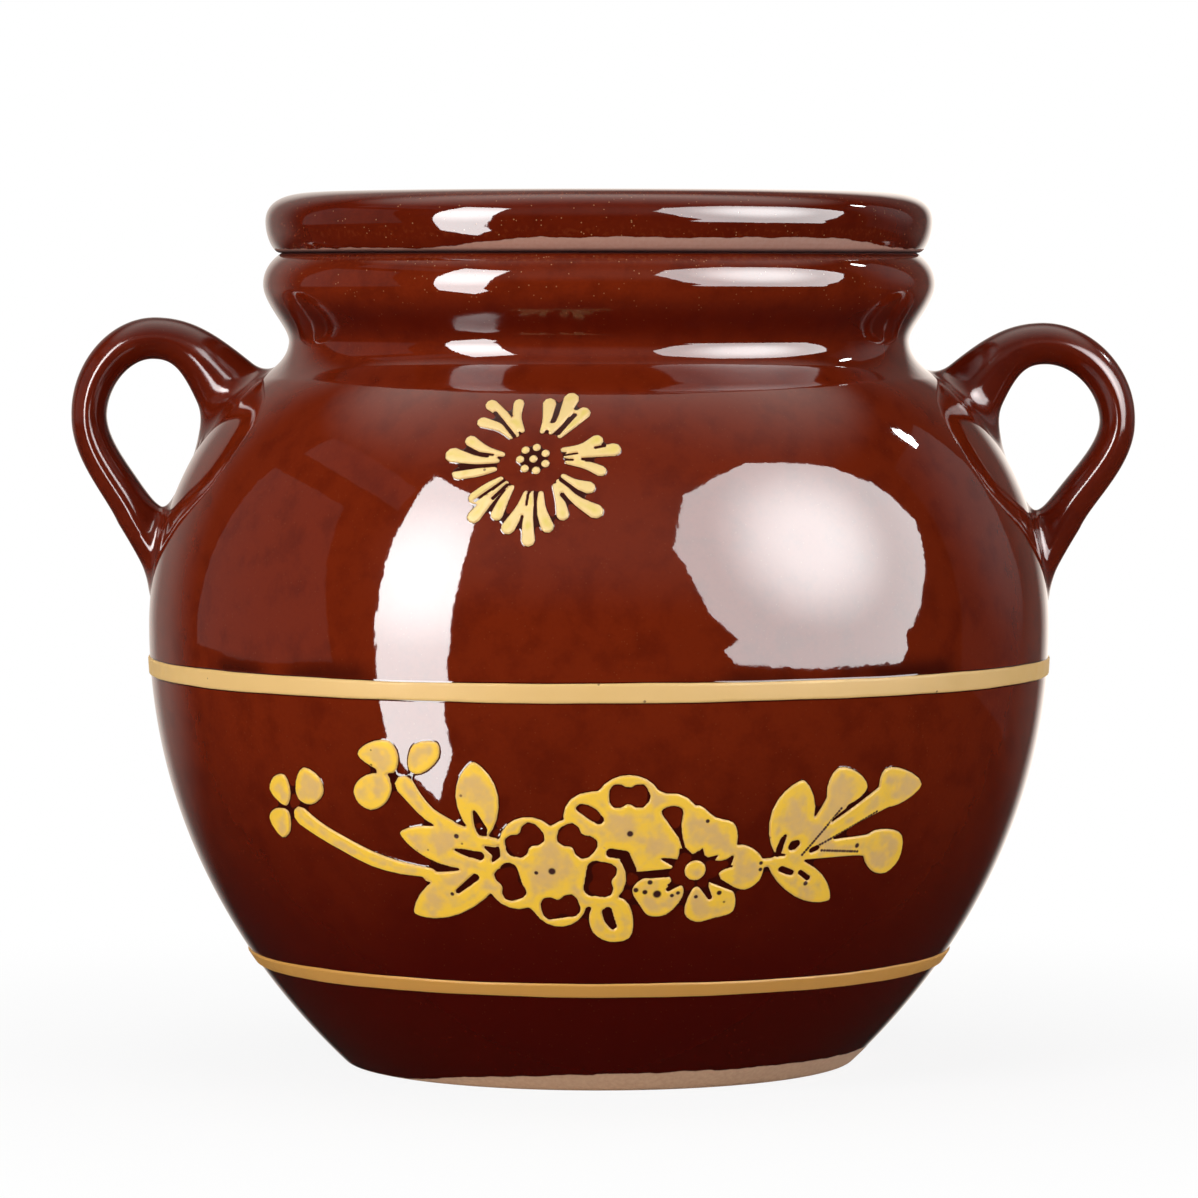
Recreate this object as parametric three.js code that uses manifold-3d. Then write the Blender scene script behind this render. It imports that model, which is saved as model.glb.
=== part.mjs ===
// Ceramic lard jar: a round stoneware pot with two ear handles, a flat-topped lid
// and slip decoration laid on the glaze. Millimetres, +Z up, front towards -Y,
// origin on the ground under the middle of the foot.

import * as THREE from 'three';
import { mergeVertices } from 'three/addons/utils/BufferGeometryUtils.js';
import { LoftGeometry } from 'three/addons/geometries/LoftGeometry.js';
import { TessellateModifier } from 'three/addons/modifiers/TessellateModifier.js';
import Module from 'manifold-3d';

// Pot, measured over the outside
const FOOT_DIAMETER = 112.8;
const BELLY_DIAMETER = 199.9;
const BELLY_HEIGHT = 97;
const SHOULDER_DIAMETER = 141.8;
const SHOULDER_HEIGHT = 154.6;
const NECK_DIAMETER = 137.6;
const NECK_HEIGHT = 158.6;
const COLLAR_DIAMETER = 149;
const COLLAR_HEIGHT = 172.6;
const RIM_DIAMETER = 140.8;
const RIM_HEIGHT = 179.5;

// Pot, inside and underneath
const WALL = 6;
const FLOOR_THICKNESS = 7;
const FLOOR_CORNER = 8;
const FOOT_RING_WIDTH = 9;
const FOOT_RECESS = 1.5;

// Lid
const LID_DIAMETER = 147.9;
const LID_SEAT_OVERHANG = 0.2;
const LID_SEAT_GAP = 0.3;
const LID_WIDEST_RISE = 5.8;
const LID_EDGE_RISE = 13.1;
const LID_RISE = 13.7;
const LID_EDGE_WIDTH = 11.9;
const LID_THICKNESS = 7;
const FLANGE_DEPTH = 9;
const FLANGE_WALL = 5;
const FLANGE_CLEARANCE = 1;

// Ear handles: a strap from an upper root on the shoulder to a tail on the belly
const LEFT_REACH = 117.3;
const RIGHT_REACH = 119.2;
const RIGHT_HANDLE_DROP = 1.2;
const HANDLE_TOP = 165.3;
const HANDLE_APEX_REACH = 98.9;
const HANDLE_WIDEST_HEIGHT = 143.5;
const UPPER_ROOT_HEIGHT = 147;
const LOWER_ROOT_HEIGHT = 119.5;
const TAIL_HEIGHT = 103;
const STRAP_THICKNESS = 7.9;
const APEX_THICKNESS = 9.3;
const UPPER_ROOT_THICKNESS = 19;
const LOWER_ROOT_THICKNESS = 9;
const TAIL_THICKNESS = 5;
const STRAP_WIDTH = 14;
const ROOT_WIDTH = 17;
const TAIL_WIDTH = 11;
const ROOT_SINK = 3.6;
const LOWER_ROOT_STANDOFF = 6.75;
const LUTE_GAP = 0.3;

// Slip: two bands round the pot, a rosette on the shoulder and a spray on the belly
const SLIP_THICKNESS = 0.5;
const SLIP_SEAT_GAP = 0.3;
const UPPER_BAND_HEIGHT = 88.4;
const UPPER_BAND_WIDTH = 4;
const LOWER_BAND_HEIGHT = 24.4;
const LOWER_BAND_WIDTH = 3.4;
const ROSETTE_HEIGHT = 137;
const ROSETTE_TURN = -8.8;
const ROSETTE_DIAMETER = 40;
const SPRAY_HEIGHT = 57;
const SPRAY_WIDTH = 157;

// The stencils are drawn on grids of this many squares across, one square to a
// millimetre at the sizes above. Neighbouring cut-outs keep a bridge between them.
const ROSETTE_SQUARES = 40;
const SPRAY_SQUARES = 157;
const STENCIL_BRIDGE = 0.35;

// Rosette, in squares: half widths of a petal, and a ring of round seeds
const PETAL_INNER_HALF = 0.55;
const PETAL_BEND_HALF = 0.95;
const SEED_COUNT = 7;
const SEED_RING = 2.8;
const SEED_RADIUS = 0.9;
const SEED_CENTRE = [0, -0.7];
const SEED_TURN = 80;

// Spray, in squares: the middles of its blossoms
const LEFT_BLOSSOM = [-10, -6.8];
const MIDDLE_BLOSSOM = [6, 2];
const RIGHT_BLOSSOM = [20.7, -6.7];
const BLOSSOM_EYE_RADIUS = 2.35;

// How finely round forms are divided
const ROUND_SEGMENTS = 56;
const SLIP_MAX_EDGE = 8;
const SLIP_MAX_SPLITS = 12;
const MERGE_DISTANCE = 1e-4;

const GLAZE_COLOUR = 0x6a2415;
const GLAZE_ROUGHNESS = 0.12;
const SLIP_COLOUR = 0xdfae62;
const SLIP_ROUGHNESS = 0.3;

const wasm = await Module();
wasm.setup();

const radians = THREE.MathUtils.degToRad;
const lerp = THREE.MathUtils.lerp;
const vector = (x, y) => new THREE.Vector2(x, y);

// Meshes and solids

function weld(geometry) {
	const bare = new THREE.BufferGeometry();
	bare.setAttribute('position', geometry.attributes.position);
	bare.setIndex(geometry.index);
	const merged = mergeVertices(bare, MERGE_DISTANCE);
	const corners = merged.index.array;
	const kept = [];
	for (let i = 0; i < corners.length; i += 3) {
		const [a, b, c] = corners.subarray(i, i + 3);
		if (a !== b && b !== c && c !== a) kept.push(a, b, c);
	}
	merged.setIndex(kept);
	return merged;
}

function solidFrom(geometry) {
	const welded = weld(geometry);
	return new wasm.Manifold(new wasm.Mesh({
		numProp: 3,
		vertProperties: Float32Array.from(welded.attributes.position.array),
		triVerts: Uint32Array.from(welded.index.array),
	}));
}

function geometryFrom(solid) {
	const mesh = solid.getMesh();
	const geometry = new THREE.BufferGeometry();
	geometry.setAttribute('position', new THREE.BufferAttribute(mesh.vertProperties, 3));
	geometry.setIndex(new THREE.BufferAttribute(mesh.triVerts, 1));
	return geometry;
}

function joined(solids) {
	return solids.reduce((whole, solid) => whole.add(solid));
}

// A closed profile of (radius, height) points turned about the Z axis
function turned(points) {
	const geometry = weld(new THREE.LatheGeometry(points, ROUND_SEGMENTS));
	geometry.rotateX(Math.PI / 2);
	return geometry;
}

function named(name, geometry, colour, roughness) {
	geometry.computeVertexNormals();
	const material = new THREE.MeshStandardMaterial({ color: colour, roughness, metalness: 0 });
	const mesh = new THREE.Mesh(geometry, material);
	mesh.name = name;
	return mesh;
}

const glazed = (name, geometry) => named(name, geometry, GLAZE_COLOUR, GLAZE_ROUGHNESS);
const slipped = (name, geometry) => named(name, geometry, SLIP_COLOUR, SLIP_ROUGHNESS);

// Outer profile of the pot, from the foot's edge up to the rim. The shares place each
// curve's handles and so set how full it is.

const footRadius = FOOT_DIAMETER / 2;
const bellyRadius = BELLY_DIAMETER / 2;
const shoulderRadius = SHOULDER_DIAMETER / 2;
const neckRadius = NECK_DIAMETER / 2;
const collarRadius = COLLAR_DIAMETER / 2;
const rimRadius = RIM_DIAMETER / 2;

function potProfile() {
	const foot = vector(footRadius, 0);
	const belly = vector(bellyRadius, BELLY_HEIGHT);
	const shoulder = vector(shoulderRadius, SHOULDER_HEIGHT);
	const neck = vector(neckRadius, NECK_HEIGHT);
	const collar = vector(collarRadius, COLLAR_HEIGHT);
	const rim = vector(rimRadius, RIM_HEIGHT);
	const path = new THREE.CurvePath();
	path.add(new THREE.CubicBezierCurve(
		foot,
		vector(lerp(footRadius, bellyRadius, 0.58), 0.247 * BELLY_HEIGHT),
		vector(bellyRadius, 0.588 * BELLY_HEIGHT),
		belly));
	path.add(new THREE.CubicBezierCurve(
		belly,
		vector(bellyRadius, lerp(BELLY_HEIGHT, SHOULDER_HEIGHT, 0.441)),
		vector(lerp(shoulderRadius, bellyRadius, 0.533), lerp(SHOULDER_HEIGHT, BELLY_HEIGHT, 0.129)),
		shoulder));
	path.add(new THREE.QuadraticBezierCurve(
		shoulder,
		vector(neckRadius, lerp(SHOULDER_HEIGHT, NECK_HEIGHT, 0.25)),
		neck));
	path.add(new THREE.CubicBezierCurve(
		neck,
		vector(neckRadius, lerp(NECK_HEIGHT, COLLAR_HEIGHT, 0.254)),
		vector(collarRadius, lerp(COLLAR_HEIGHT, NECK_HEIGHT, 0.35)),
		collar));
	path.add(new THREE.CubicBezierCurve(
		collar,
		vector(collarRadius, lerp(COLLAR_HEIGHT, RIM_HEIGHT, 0.52)),
		vector(lerp(rimRadius, collarRadius, 0.437), lerp(RIM_HEIGHT, COLLAR_HEIGHT, 0.16)),
		rim));
	return path;
}

const profile = potProfile();
const profileLength = profile.getLength();

// The point at a distance up the profile, moved outwards by lift
function profilePoint(arc, lift = 0) {
	const share = THREE.MathUtils.clamp(arc / profileLength, 0, 1);
	const point = profile.getPoint(share);
	const along = profile.getTangent(share);
	return vector(point.x + along.y * lift, point.y - along.x * lift);
}

// The distance up the profile at which it reaches a height
function arcAt(height) {
	let low = 0;
	let high = profileLength;
	for (let halving = 0; halving < 40; halving++) {
		const middle = (low + high) / 2;
		if (profilePoint(middle).y < height) low = middle;
		else high = middle;
	}
	return low;
}

function outerPoints(lift) {
	const divisions = [8, 8, 2, 4, 3];
	const points = [profilePoint(0, lift)];
	let start = 0;
	profile.curves.forEach((curve, index) => {
		const length = curve.getLength();
		for (let step = 1; step <= divisions[index]; step++) {
			points.push(profilePoint(start + length * step / divisions[index], lift));
		}
		start += length;
	});
	return points;
}

// Pot

const mouthRadius = neckRadius - WALL;

function innerPoints() {
	const rings = 9;
	const neckArc = arcAt(NECK_HEIGHT);
	const floorArc = arcAt(FLOOR_THICKNESS);
	const points = [vector(mouthRadius, RIM_HEIGHT)];
	for (let ring = 0; ring <= rings; ring++) {
		points.push(profilePoint(lerp(neckArc, floorArc, ring / rings), -WALL));
	}
	const wallFoot = points[points.length - 1];
	const corner = vector(wallFoot.x - (wallFoot.y - FLOOR_THICKNESS), FLOOR_THICKNESS);
	const floorEdge = vector(corner.x - FLOOR_CORNER, FLOOR_THICKNESS);
	const bend = new THREE.QuadraticBezierCurve(wallFoot, corner, floorEdge);
	return [...points, ...bend.getPoints(3).slice(1), vector(0, FLOOR_THICKNESS)];
}

function potBody() {
	const ringInner = footRadius - FOOT_RING_WIDTH;
	return turned([
		vector(0, FOOT_RECESS),
		vector(ringInner - FOOT_RECESS, FOOT_RECESS),
		vector(ringInner, 0),
		...outerPoints(0),
		...innerPoints(),
	]);
}

// Lid, seated on the rim with its flange inside the mouth

function lid() {
	const base = RIM_HEIGHT + LID_SEAT_GAP;
	const seat = vector(rimRadius + LID_SEAT_OVERHANG, base);
	const widest = vector(LID_DIAMETER / 2, base + LID_WIDEST_RISE);
	const edge = vector(LID_DIAMETER / 2 - LID_EDGE_WIDTH, base + LID_EDGE_RISE);
	const crown = vector(0, base + LID_RISE);
	const side = new THREE.CubicBezierCurve(
		seat,
		vector(lerp(seat.x, widest.x, 0.56), seat.y),
		vector(widest.x, lerp(widest.y, seat.y, 0.43)),
		widest);
	const rounding = new THREE.CubicBezierCurve(
		widest,
		vector(widest.x, lerp(widest.y, edge.y, 0.64)),
		vector(lerp(edge.x, widest.x, 0.71), edge.y),
		edge);
	const dome = new THREE.CubicBezierCurve(
		edge,
		vector(edge.x * 0.8, lerp(edge.y, crown.y, 0.3)),
		vector(edge.x * 0.45, crown.y),
		crown);
	const flangeOuter = mouthRadius - FLANGE_CLEARANCE;
	const flangeInner = flangeOuter - FLANGE_WALL;
	const ceiling = edge.y - LID_THICKNESS;
	const ceilingCrown = crown.y - LID_THICKNESS;
	return turned([
		vector(0, ceilingCrown),
		vector(flangeInner * 0.6, lerp(ceilingCrown, ceiling, 0.4)),
		vector(flangeInner, ceiling),
		vector(flangeInner, base - FLANGE_DEPTH),
		vector(flangeOuter, base - FLANGE_DEPTH),
		vector(flangeOuter, base),
		...side.getPoints(3),
		...rounding.getPoints(5).slice(1),
		...dome.getPoints(4).slice(1),
	]);
}

// Ear handles

function handleSpine(reach) {
	const root = profilePoint(arcAt(UPPER_ROOT_HEIGHT), -ROOT_SINK);
	const rise = vector(0.61, 0.79);
	const apex = vector(HANDLE_APEX_REACH, HANDLE_TOP - APEX_THICKNESS / 2);
	const widest = vector(reach - STRAP_THICKNESS / 2, HANDLE_WIDEST_HEIGHT);
	const lower = profilePoint(arcAt(LOWER_ROOT_HEIGHT), LOWER_ROOT_STANDOFF);
	const lean = vector(0.42, 0.9);
	const tail = profilePoint(arcAt(TAIL_HEIGHT), -TAIL_THICKNESS / 2);
	const climb = apex.y - root.y;
	const drop = widest.y - lower.y;
	const spine = new THREE.CurvePath();
	spine.add(new THREE.CubicBezierCurve(
		root,
		root.clone().addScaledVector(rise, 0.8 * climb),
		vector(lerp(apex.x, root.x, 0.42), apex.y),
		apex));
	spine.add(new THREE.CubicBezierCurve(
		apex,
		vector(lerp(apex.x, widest.x, 0.53), apex.y),
		vector(widest.x, lerp(widest.y, apex.y, 0.53)),
		widest));
	spine.add(new THREE.CubicBezierCurve(
		widest,
		vector(widest.x, lerp(widest.y, lower.y, 0.38)),
		lower.clone().addScaledVector(lean, 0.33 * drop),
		lower));
	spine.add(new THREE.CubicBezierCurve(
		lower,
		lower.clone().addScaledVector(lean, -0.28 * drop),
		vector(tail.x + 0.07 * drop, tail.y + 0.25 * drop),
		tail));
	return spine;
}

// Thickness and width of the strap where its four curves meet
const STRAP_STATIONS = [
	[UPPER_ROOT_THICKNESS, ROOT_WIDTH],
	[APEX_THICKNESS, STRAP_WIDTH],
	[STRAP_THICKNESS, STRAP_WIDTH],
	[LOWER_ROOT_THICKNESS, STRAP_WIDTH],
	[TAIL_THICKNESS, TAIL_WIDTH],
];

function handle(reach, drop, side) {
	const sides = 16;
	const steps = [7, 6, 6, 5];
	const squareness = 0.8;
	const spine = handleSpine(reach);
	const sections = [];
	spine.curves.forEach((curve, index) => {
		const [startThickness, startWidth] = STRAP_STATIONS[index];
		const [endThickness, endWidth] = STRAP_STATIONS[index + 1];
		const first = index === 0 ? 0 : 1;
		for (let step = first; step <= steps[index]; step++) {
			const share = step / steps[index];
			const flare = index === 0 ? 1 - (1 - share) ** 2 : share;
			const thickness = lerp(startThickness, endThickness, flare);
			const width = lerp(startWidth, endWidth, flare);
			const centre = curve.getPointAt(share);
			const along = curve.getTangentAt(share);
			const section = [];
			for (let corner = 0; corner < sides; corner++) {
				const angle = 2 * Math.PI * corner / sides;
				const across = Math.sign(Math.cos(angle)) * Math.abs(Math.cos(angle)) ** squareness;
				const sideways = Math.sign(Math.sin(angle)) * Math.abs(Math.sin(angle)) ** squareness;
				const out = across * thickness / 2;
				section.push(new THREE.Vector3(
					centre.x - along.y * out,
					-sideways * width / 2,
					centre.y + along.x * out - drop));
			}
			sections.push(section);
		}
	});
	const strap = new LoftGeometry(sections, { capStart: true, capEnd: true });
	if (side < 0) strap.rotateZ(Math.PI);
	const pot = turned([vector(0, 0), ...outerPoints(LUTE_GAP), vector(0, RIM_HEIGHT)]);
	return geometryFrom(solidFrom(strap).subtract(solidFrom(pot)));
}

// Slip bands right round the pot

function band(height, width) {
	const low = arcAt(height) - width / 2;
	const high = arcAt(height) + width / 2;
	const outside = SLIP_SEAT_GAP + SLIP_THICKNESS;
	const corner = profilePoint(low, SLIP_SEAT_GAP);
	return turned([
		corner,
		profilePoint(low, outside),
		profilePoint(high, outside),
		profilePoint(high, SLIP_SEAT_GAP),
		corner,
	]);
}

// Outlines for the stencils, each grown by a margin when it is used as a keep-out

// A closed curve through a few points, taken anticlockwise
function petal(points) {
	const corners = points.map(([x, y]) => new THREE.Vector3(x, y));
	if (THREE.ShapeUtils.isClockWise(corners)) corners.reverse();
	const curve = new THREE.CatmullRomCurve3(corners, true);
	const count = 3 * points.length;
	return (grow) => {
		const loop = [];
		for (let step = 0; step < count; step++) {
			const point = curve.getPoint(step / count);
			const along = curve.getTangent(step / count);
			loop.push(vector(point.x + along.y * grow, point.y - along.x * grow));
		}
		return loop;
	};
}

// A round-ended stroke through rows of x, y and half its width
function stroke(rows, steps = 8) {
	const spine = new THREE.CatmullRomCurve3(rows.map((row) => new THREE.Vector3(...row)));
	return (grow) => {
		const edge = (step, turn) => {
			const point = spine.getPoint(step / steps);
			const along = spine.getTangent(step / steps);
			const angle = Math.atan2(along.y, along.x) + radians(turn);
			const half = point.z + grow;
			return vector(point.x + half * Math.cos(angle), point.y + half * Math.sin(angle));
		};
		const right = [];
		const left = [];
		for (let step = 0; step <= steps; step++) {
			right.push(edge(step, -90));
			left.unshift(edge(step, 90));
		}
		const tip = [-45, 0, 45].map((turn) => edge(steps, turn));
		const tail = [135, 180, 225].map((turn) => edge(0, turn));
		return [...right, ...tip, ...left, ...tail];
	};
}

// A leaf from its base to its tip, with half its greatest width. The base is blunt.
function leaf(base, tip, half) {
	const spread = vector(tip[0] - base[0], tip[1] - base[1]);
	const length = spread.length();
	const heading = spread.angle();
	const bluntness = 0.56;
	const steps = 9;
	return (grow) => {
		const edge = (step, side) => {
			const angle = lerp(-63, 90, step / steps);
			const sine = Math.sin(radians(angle));
			const cosine = Math.cos(radians(angle));
			const along = length * (0.5 + sine * (sine < 0 ? bluntness : 0.5)) + grow * sine;
			const across = side * (half * cosine ** 1.5 + grow * cosine);
			return vector(along, across).rotateAround(vector(0, 0), heading).add(vector(...base));
		};
		const right = [];
		const left = [];
		for (let step = 0; step < steps; step++) {
			right.push(edge(step, -1));
			left.unshift(edge(step, 1));
		}
		return [...right, edge(steps, 0), ...left];
	};
}

// The outer edge of overlapping round lobes about a centre: angle, distance, radius
function lobes(centre, rows, count = 44) {
	return (grow) => {
		const loop = [];
		for (let step = 0; step < count; step++) {
			const angle = 2 * Math.PI * step / count;
			let reach = 0;
			for (const [turn, distance, radius] of rows) {
				const off = angle - radians(turn);
				const inside = (radius + grow) ** 2 - (distance * Math.sin(off)) ** 2;
				if (inside > 0) reach = Math.max(reach, distance * Math.cos(off) + Math.sqrt(inside));
			}
			loop.push(vector(centre[0] + reach * Math.cos(angle), centre[1] + reach * Math.sin(angle)));
		}
		return loop;
	};
}

function disc(centre, radius) {
	return lobes(centre, [[0, 0, radius]], 12);
}

// A two-lobed opening in a blossom, lying across the line from its centre
function opening(centre, turn, distance, length, waist) {
	const count = 18;
	const fullness = 0.5;
	const mean = (length + waist) / 4 + fullness;
	const swing = (length - waist) / 4;
	const middle = vector(Math.cos(radians(turn)), Math.sin(radians(turn))).multiplyScalar(distance);
	return () => {
		const loop = [];
		for (let step = 0; step < count; step++) {
			const angle = 2 * Math.PI * step / count;
			const reach = mean + swing * Math.cos(2 * angle) - fullness * Math.cos(4 * angle);
			const heading = angle + radians(turn + 90);
			loop.push(vector(
				centre[0] + middle.x + reach * Math.cos(heading),
				centre[1] + middle.y + reach * Math.sin(heading)));
		}
		return loop;
	};
}

// Stencils: each motif has outlines that are joined and openings that are cut out

function prism(loop, bottom, depth) {
	const geometry = new THREE.ExtrudeGeometry(new THREE.Shape(loop), { depth, bevelEnabled: false });
	geometry.translate(0, 0, bottom);
	return solidFrom(geometry);
}

// Lays the motifs in order, each cut back from those already laid
function layStencil(motifs, scale, height, turn) {
	const middle = arcAt(height);
	const around = profilePoint(middle).x;
	const tessellate = new TessellateModifier(SLIP_MAX_EDGE, SLIP_MAX_SPLITS);
	const laid = [];
	return motifs.map(({ name, outlines, openings = [] }) => {
		let solid = joined(outlines.map((outline) => prism(outline(0), 0, SLIP_THICKNESS)));
		for (const loop of openings) {
			solid = solid.subtract(prism(loop(0), -SLIP_THICKNESS, 3 * SLIP_THICKNESS));
		}
		for (const keepOut of laid) solid = solid.subtract(keepOut);
		const bridge = STENCIL_BRIDGE / scale;
		laid.push(...outlines.map((outline) => prism(outline(bridge), -SLIP_THICKNESS, 3 * SLIP_THICKNESS)));
		const flat = geometryFrom(solid);
		flat.scale(scale, scale, 1);
		const geometry = weld(tessellate.modify(flat));
		const place = geometry.attributes.position;
		for (let i = 0; i < place.count; i++) {
			const angle = radians(turn) + place.getX(i) / around;
			const point = profilePoint(middle + place.getY(i), SLIP_SEAT_GAP + place.getZ(i));
			place.setXYZ(i, point.x * Math.sin(angle), -point.x * Math.cos(angle), point.y);
		}
		return slipped(name, geometry);
	});
}

// Rosette: petals fan out in seven groups round a ring of seeds. Rows are the inner
// end, a bend and the middle of the round tip, then half the tip's width. Short rows
// are webs where the slip has run together.

const ROSETTE_PETALS = {
	rosette_petals_1: [
		[[1.3, 6], [2, 9], [2.2, 13.6], 1.6],
		[[3.2, 5.8], [5.2, 9], [7.2, 15], 1.85],
		[[5.2, 4.9], [8.2, 8.2], [10.2, 11], 1.6],
		[[1.8, 7.5], [3, 7.2], [4.3, 7.7], 0.7],
		[[6.8, 10.4], [8, 10.9], [9, 10.9], 0.6],
	],
	rosette_petals_2: [
		[[6.1, 1.5], [10, 2], [13.2, 3.8], 1.4],
		[[6.7, 0], [11, 0.6], [16.8, 1.6], 1.55],
		[[7.1, -1.4], [11, -2.1], [14, -3.5], 1.25],
		[[8.6, 0], [9, -0.8], [9.4, -1.4], 0.6],
	],
	rosette_petals_3: [
		[[5.5, -5.9], [9, -10], [13, -12.6], 1.6],
		[[4.8, -6.9], [6, -10.5], [6.6, -13.4], 1.25],
		[[5, -7.6], [5.8, -7.6], [6.6, -7.4], 0.6],
	],
	rosette_petal_3: [[[6.4, -4.7], [8.7, -6.3], [11.6, -7.3], 1.4]],
	rosette_petals_4: [
		[[0.5, -8.6], [-0.2, -13], [0.1, -19], 1.3],
		[[-0.9, -8.6], [-1.8, -12], [-4, -16.3], 1.4],
	],
	rosette_petal_4: [[[2.1, -8.6], [2.3, -12], [3.7, -16], 1.3]],
	rosette_petal_5a: [[[-3.9, -7.3], [-5.2, -10], [-6.4, -13.5], 1.25]],
	rosette_petal_5b: [[[-5.1, -6.4], [-8, -9.8], [-11, -14], 1.4]],
	rosette_petal_5c: [[[-6.3, -5.4], [-8.7, -7.2], [-11.2, -9.8], 1.4]],
	rosette_petals_6: [
		[[-7.6, -1.2], [-12, -1.1], [-17.5, 0.1], 1.75],
		[[-6.6, 0.3], [-10.5, 1.4], [-14.2, 3.6], 1.3],
		[[-8.4, -1], [-8.6, -0.4], [-8.8, 0.4], 0.6],
	],
	rosette_petal_6: [[[-7.9, -3.2], [-11, -3.9], [-15.5, -4.3], 1.4]],
	rosette_petals_7: [
		[[-4.2, 5.1], [-7, 9.5], [-11.5, 13.2], 1.45],
		[[-3.1, 6.2], [-4.8, 10], [-5, 13.6], 1.3],
		[[-5.8, 8], [-5.2, 8.2], [-4.4, 8.6], 0.6],
	],
	rosette_petal_7: [[[-5.4, 4.6], [-8.2, 7], [-12.5, 8.4], 1.3]],
};

function rosette() {
	const motifs = Object.entries(ROSETTE_PETALS).map(([name, petals]) => ({
		name,
		outlines: petals.map(([inner, bend, tip, half]) => stroke([
			[...inner, PETAL_INNER_HALF],
			[...bend, PETAL_BEND_HALF],
			[...tip, half],
		], 5)),
	}));
	motifs.push({ name: 'rosette_seed_middle', outlines: [disc(SEED_CENTRE, SEED_RADIUS)] });
	for (let seed = 0; seed < SEED_COUNT; seed++) {
		const angle = radians(SEED_TURN + 360 * seed / SEED_COUNT);
		const centre = [
			SEED_CENTRE[0] + SEED_RING * Math.cos(angle),
			SEED_CENTRE[1] + SEED_RING * Math.sin(angle),
		];
		motifs.push({ name: `rosette_seed_${seed + 1}`, outlines: [disc(centre, SEED_RADIUS)] });
	}
	return layStencil(motifs, ROSETTE_DIAMETER / ROSETTE_SQUARES, ROSETTE_HEIGHT, ROSETTE_TURN);
}

// Spray: three blossoms in the middle, leaves and three-petalled buds to the left,
// leaves and drop-shaped buds to the right

function blossoms() {
	return [
		{
			name: 'blossom_left',
			outlines: [lobes(LEFT_BLOSSOM, [
				[128, 7.5, 6.4], [52, 7.5, 6.2], [350, 9.2, 6.8], [279, 7.2, 6.2], [198, 8.4, 6.5],
			])],
			openings: [
				opening(LEFT_BLOSSOM, 128, 9, 8.6, 3.4),
				opening(LEFT_BLOSSOM, 52, 8.9, 8.6, 3.4),
				opening(LEFT_BLOSSOM, 350, 10.8, 8.2, 4),
				opening(LEFT_BLOSSOM, 279, 8.6, 8.6, 3.4),
				opening(LEFT_BLOSSOM, 198, 9.8, 8, 3.8),
			],
		},
		{
			name: 'blossom_middle',
			outlines: [
				lobes(MIDDLE_BLOSSOM, [[90, 5.8, 7], [155, 8.6, 5.5], [18, 9, 6], [320, 6.5, 6], [0, 0, 6]]),
			],
			openings: [
				opening(MIDDLE_BLOSSOM, 90, 8.2, 8, 3.2),
				petal([[-4.8, 7.6], [-3.4, 8.5], [-0.4, 7.2], [0.8, 4.6], [-0.8, 4.4], [-3.2, 6]]),
				petal([[12.7, 6.9], [15, 8], [17.1, 7.2], [17, 4], [16.7, 1.2], [14.6, 3.8]]),
				stroke([[17.4, -4.9, 0.7], [15, -4.3, 0.5], [13.2, -3.8, 0.2]], 3),
			],
		},
		{ name: 'blossom_right_eye', outlines: [disc(RIGHT_BLOSSOM, BLOSSOM_EYE_RADIUS)] },
		{
			name: 'blossom_right_petal_upper',
			outlines: [petal([
				[17, 3], [17.4, -1.6], [20, -2.9], [21.2, -2.1], [22.6, -3.4], [25.6, -4.6], [28.4, -3.6],
				[29.3, 1], [28, 4], [24, 5.3], [20.5, 8], [18, 7],
			])],
		},
		{
			name: 'blossom_right_petal_right',
			outlines: [petal([
				[29.5, -1.2], [33, -2], [35.8, -5], [35.7, -9.4], [32.6, -11.6], [28.6, -10.2], [26, -7.6],
				[28.6, -5.7],
			])],
		},
		{
			name: 'blossom_right_petal_lower_right',
			outlines: [petal([
				[24.2, -9], [27.4, -9.4], [30.4, -12.8], [30.6, -16.8], [26.5, -18.2], [22, -19.1],
				[19.3, -17], [20.3, -11.6], [21.5, -10.5], [24.2, -12.6],
			])],
		},
		{
			name: 'blossom_right_petal_lower_left',
			outlines: [petal([
				[7.2, -11.2], [9.4, -8.5], [15, -8], [15.7, -9.2], [14.4, -10.4], [18.2, -10.3],
				[18.4, -13], [15, -17.2], [11, -17.3], [9.2, -15],
			])],
		},
	];
}

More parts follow.
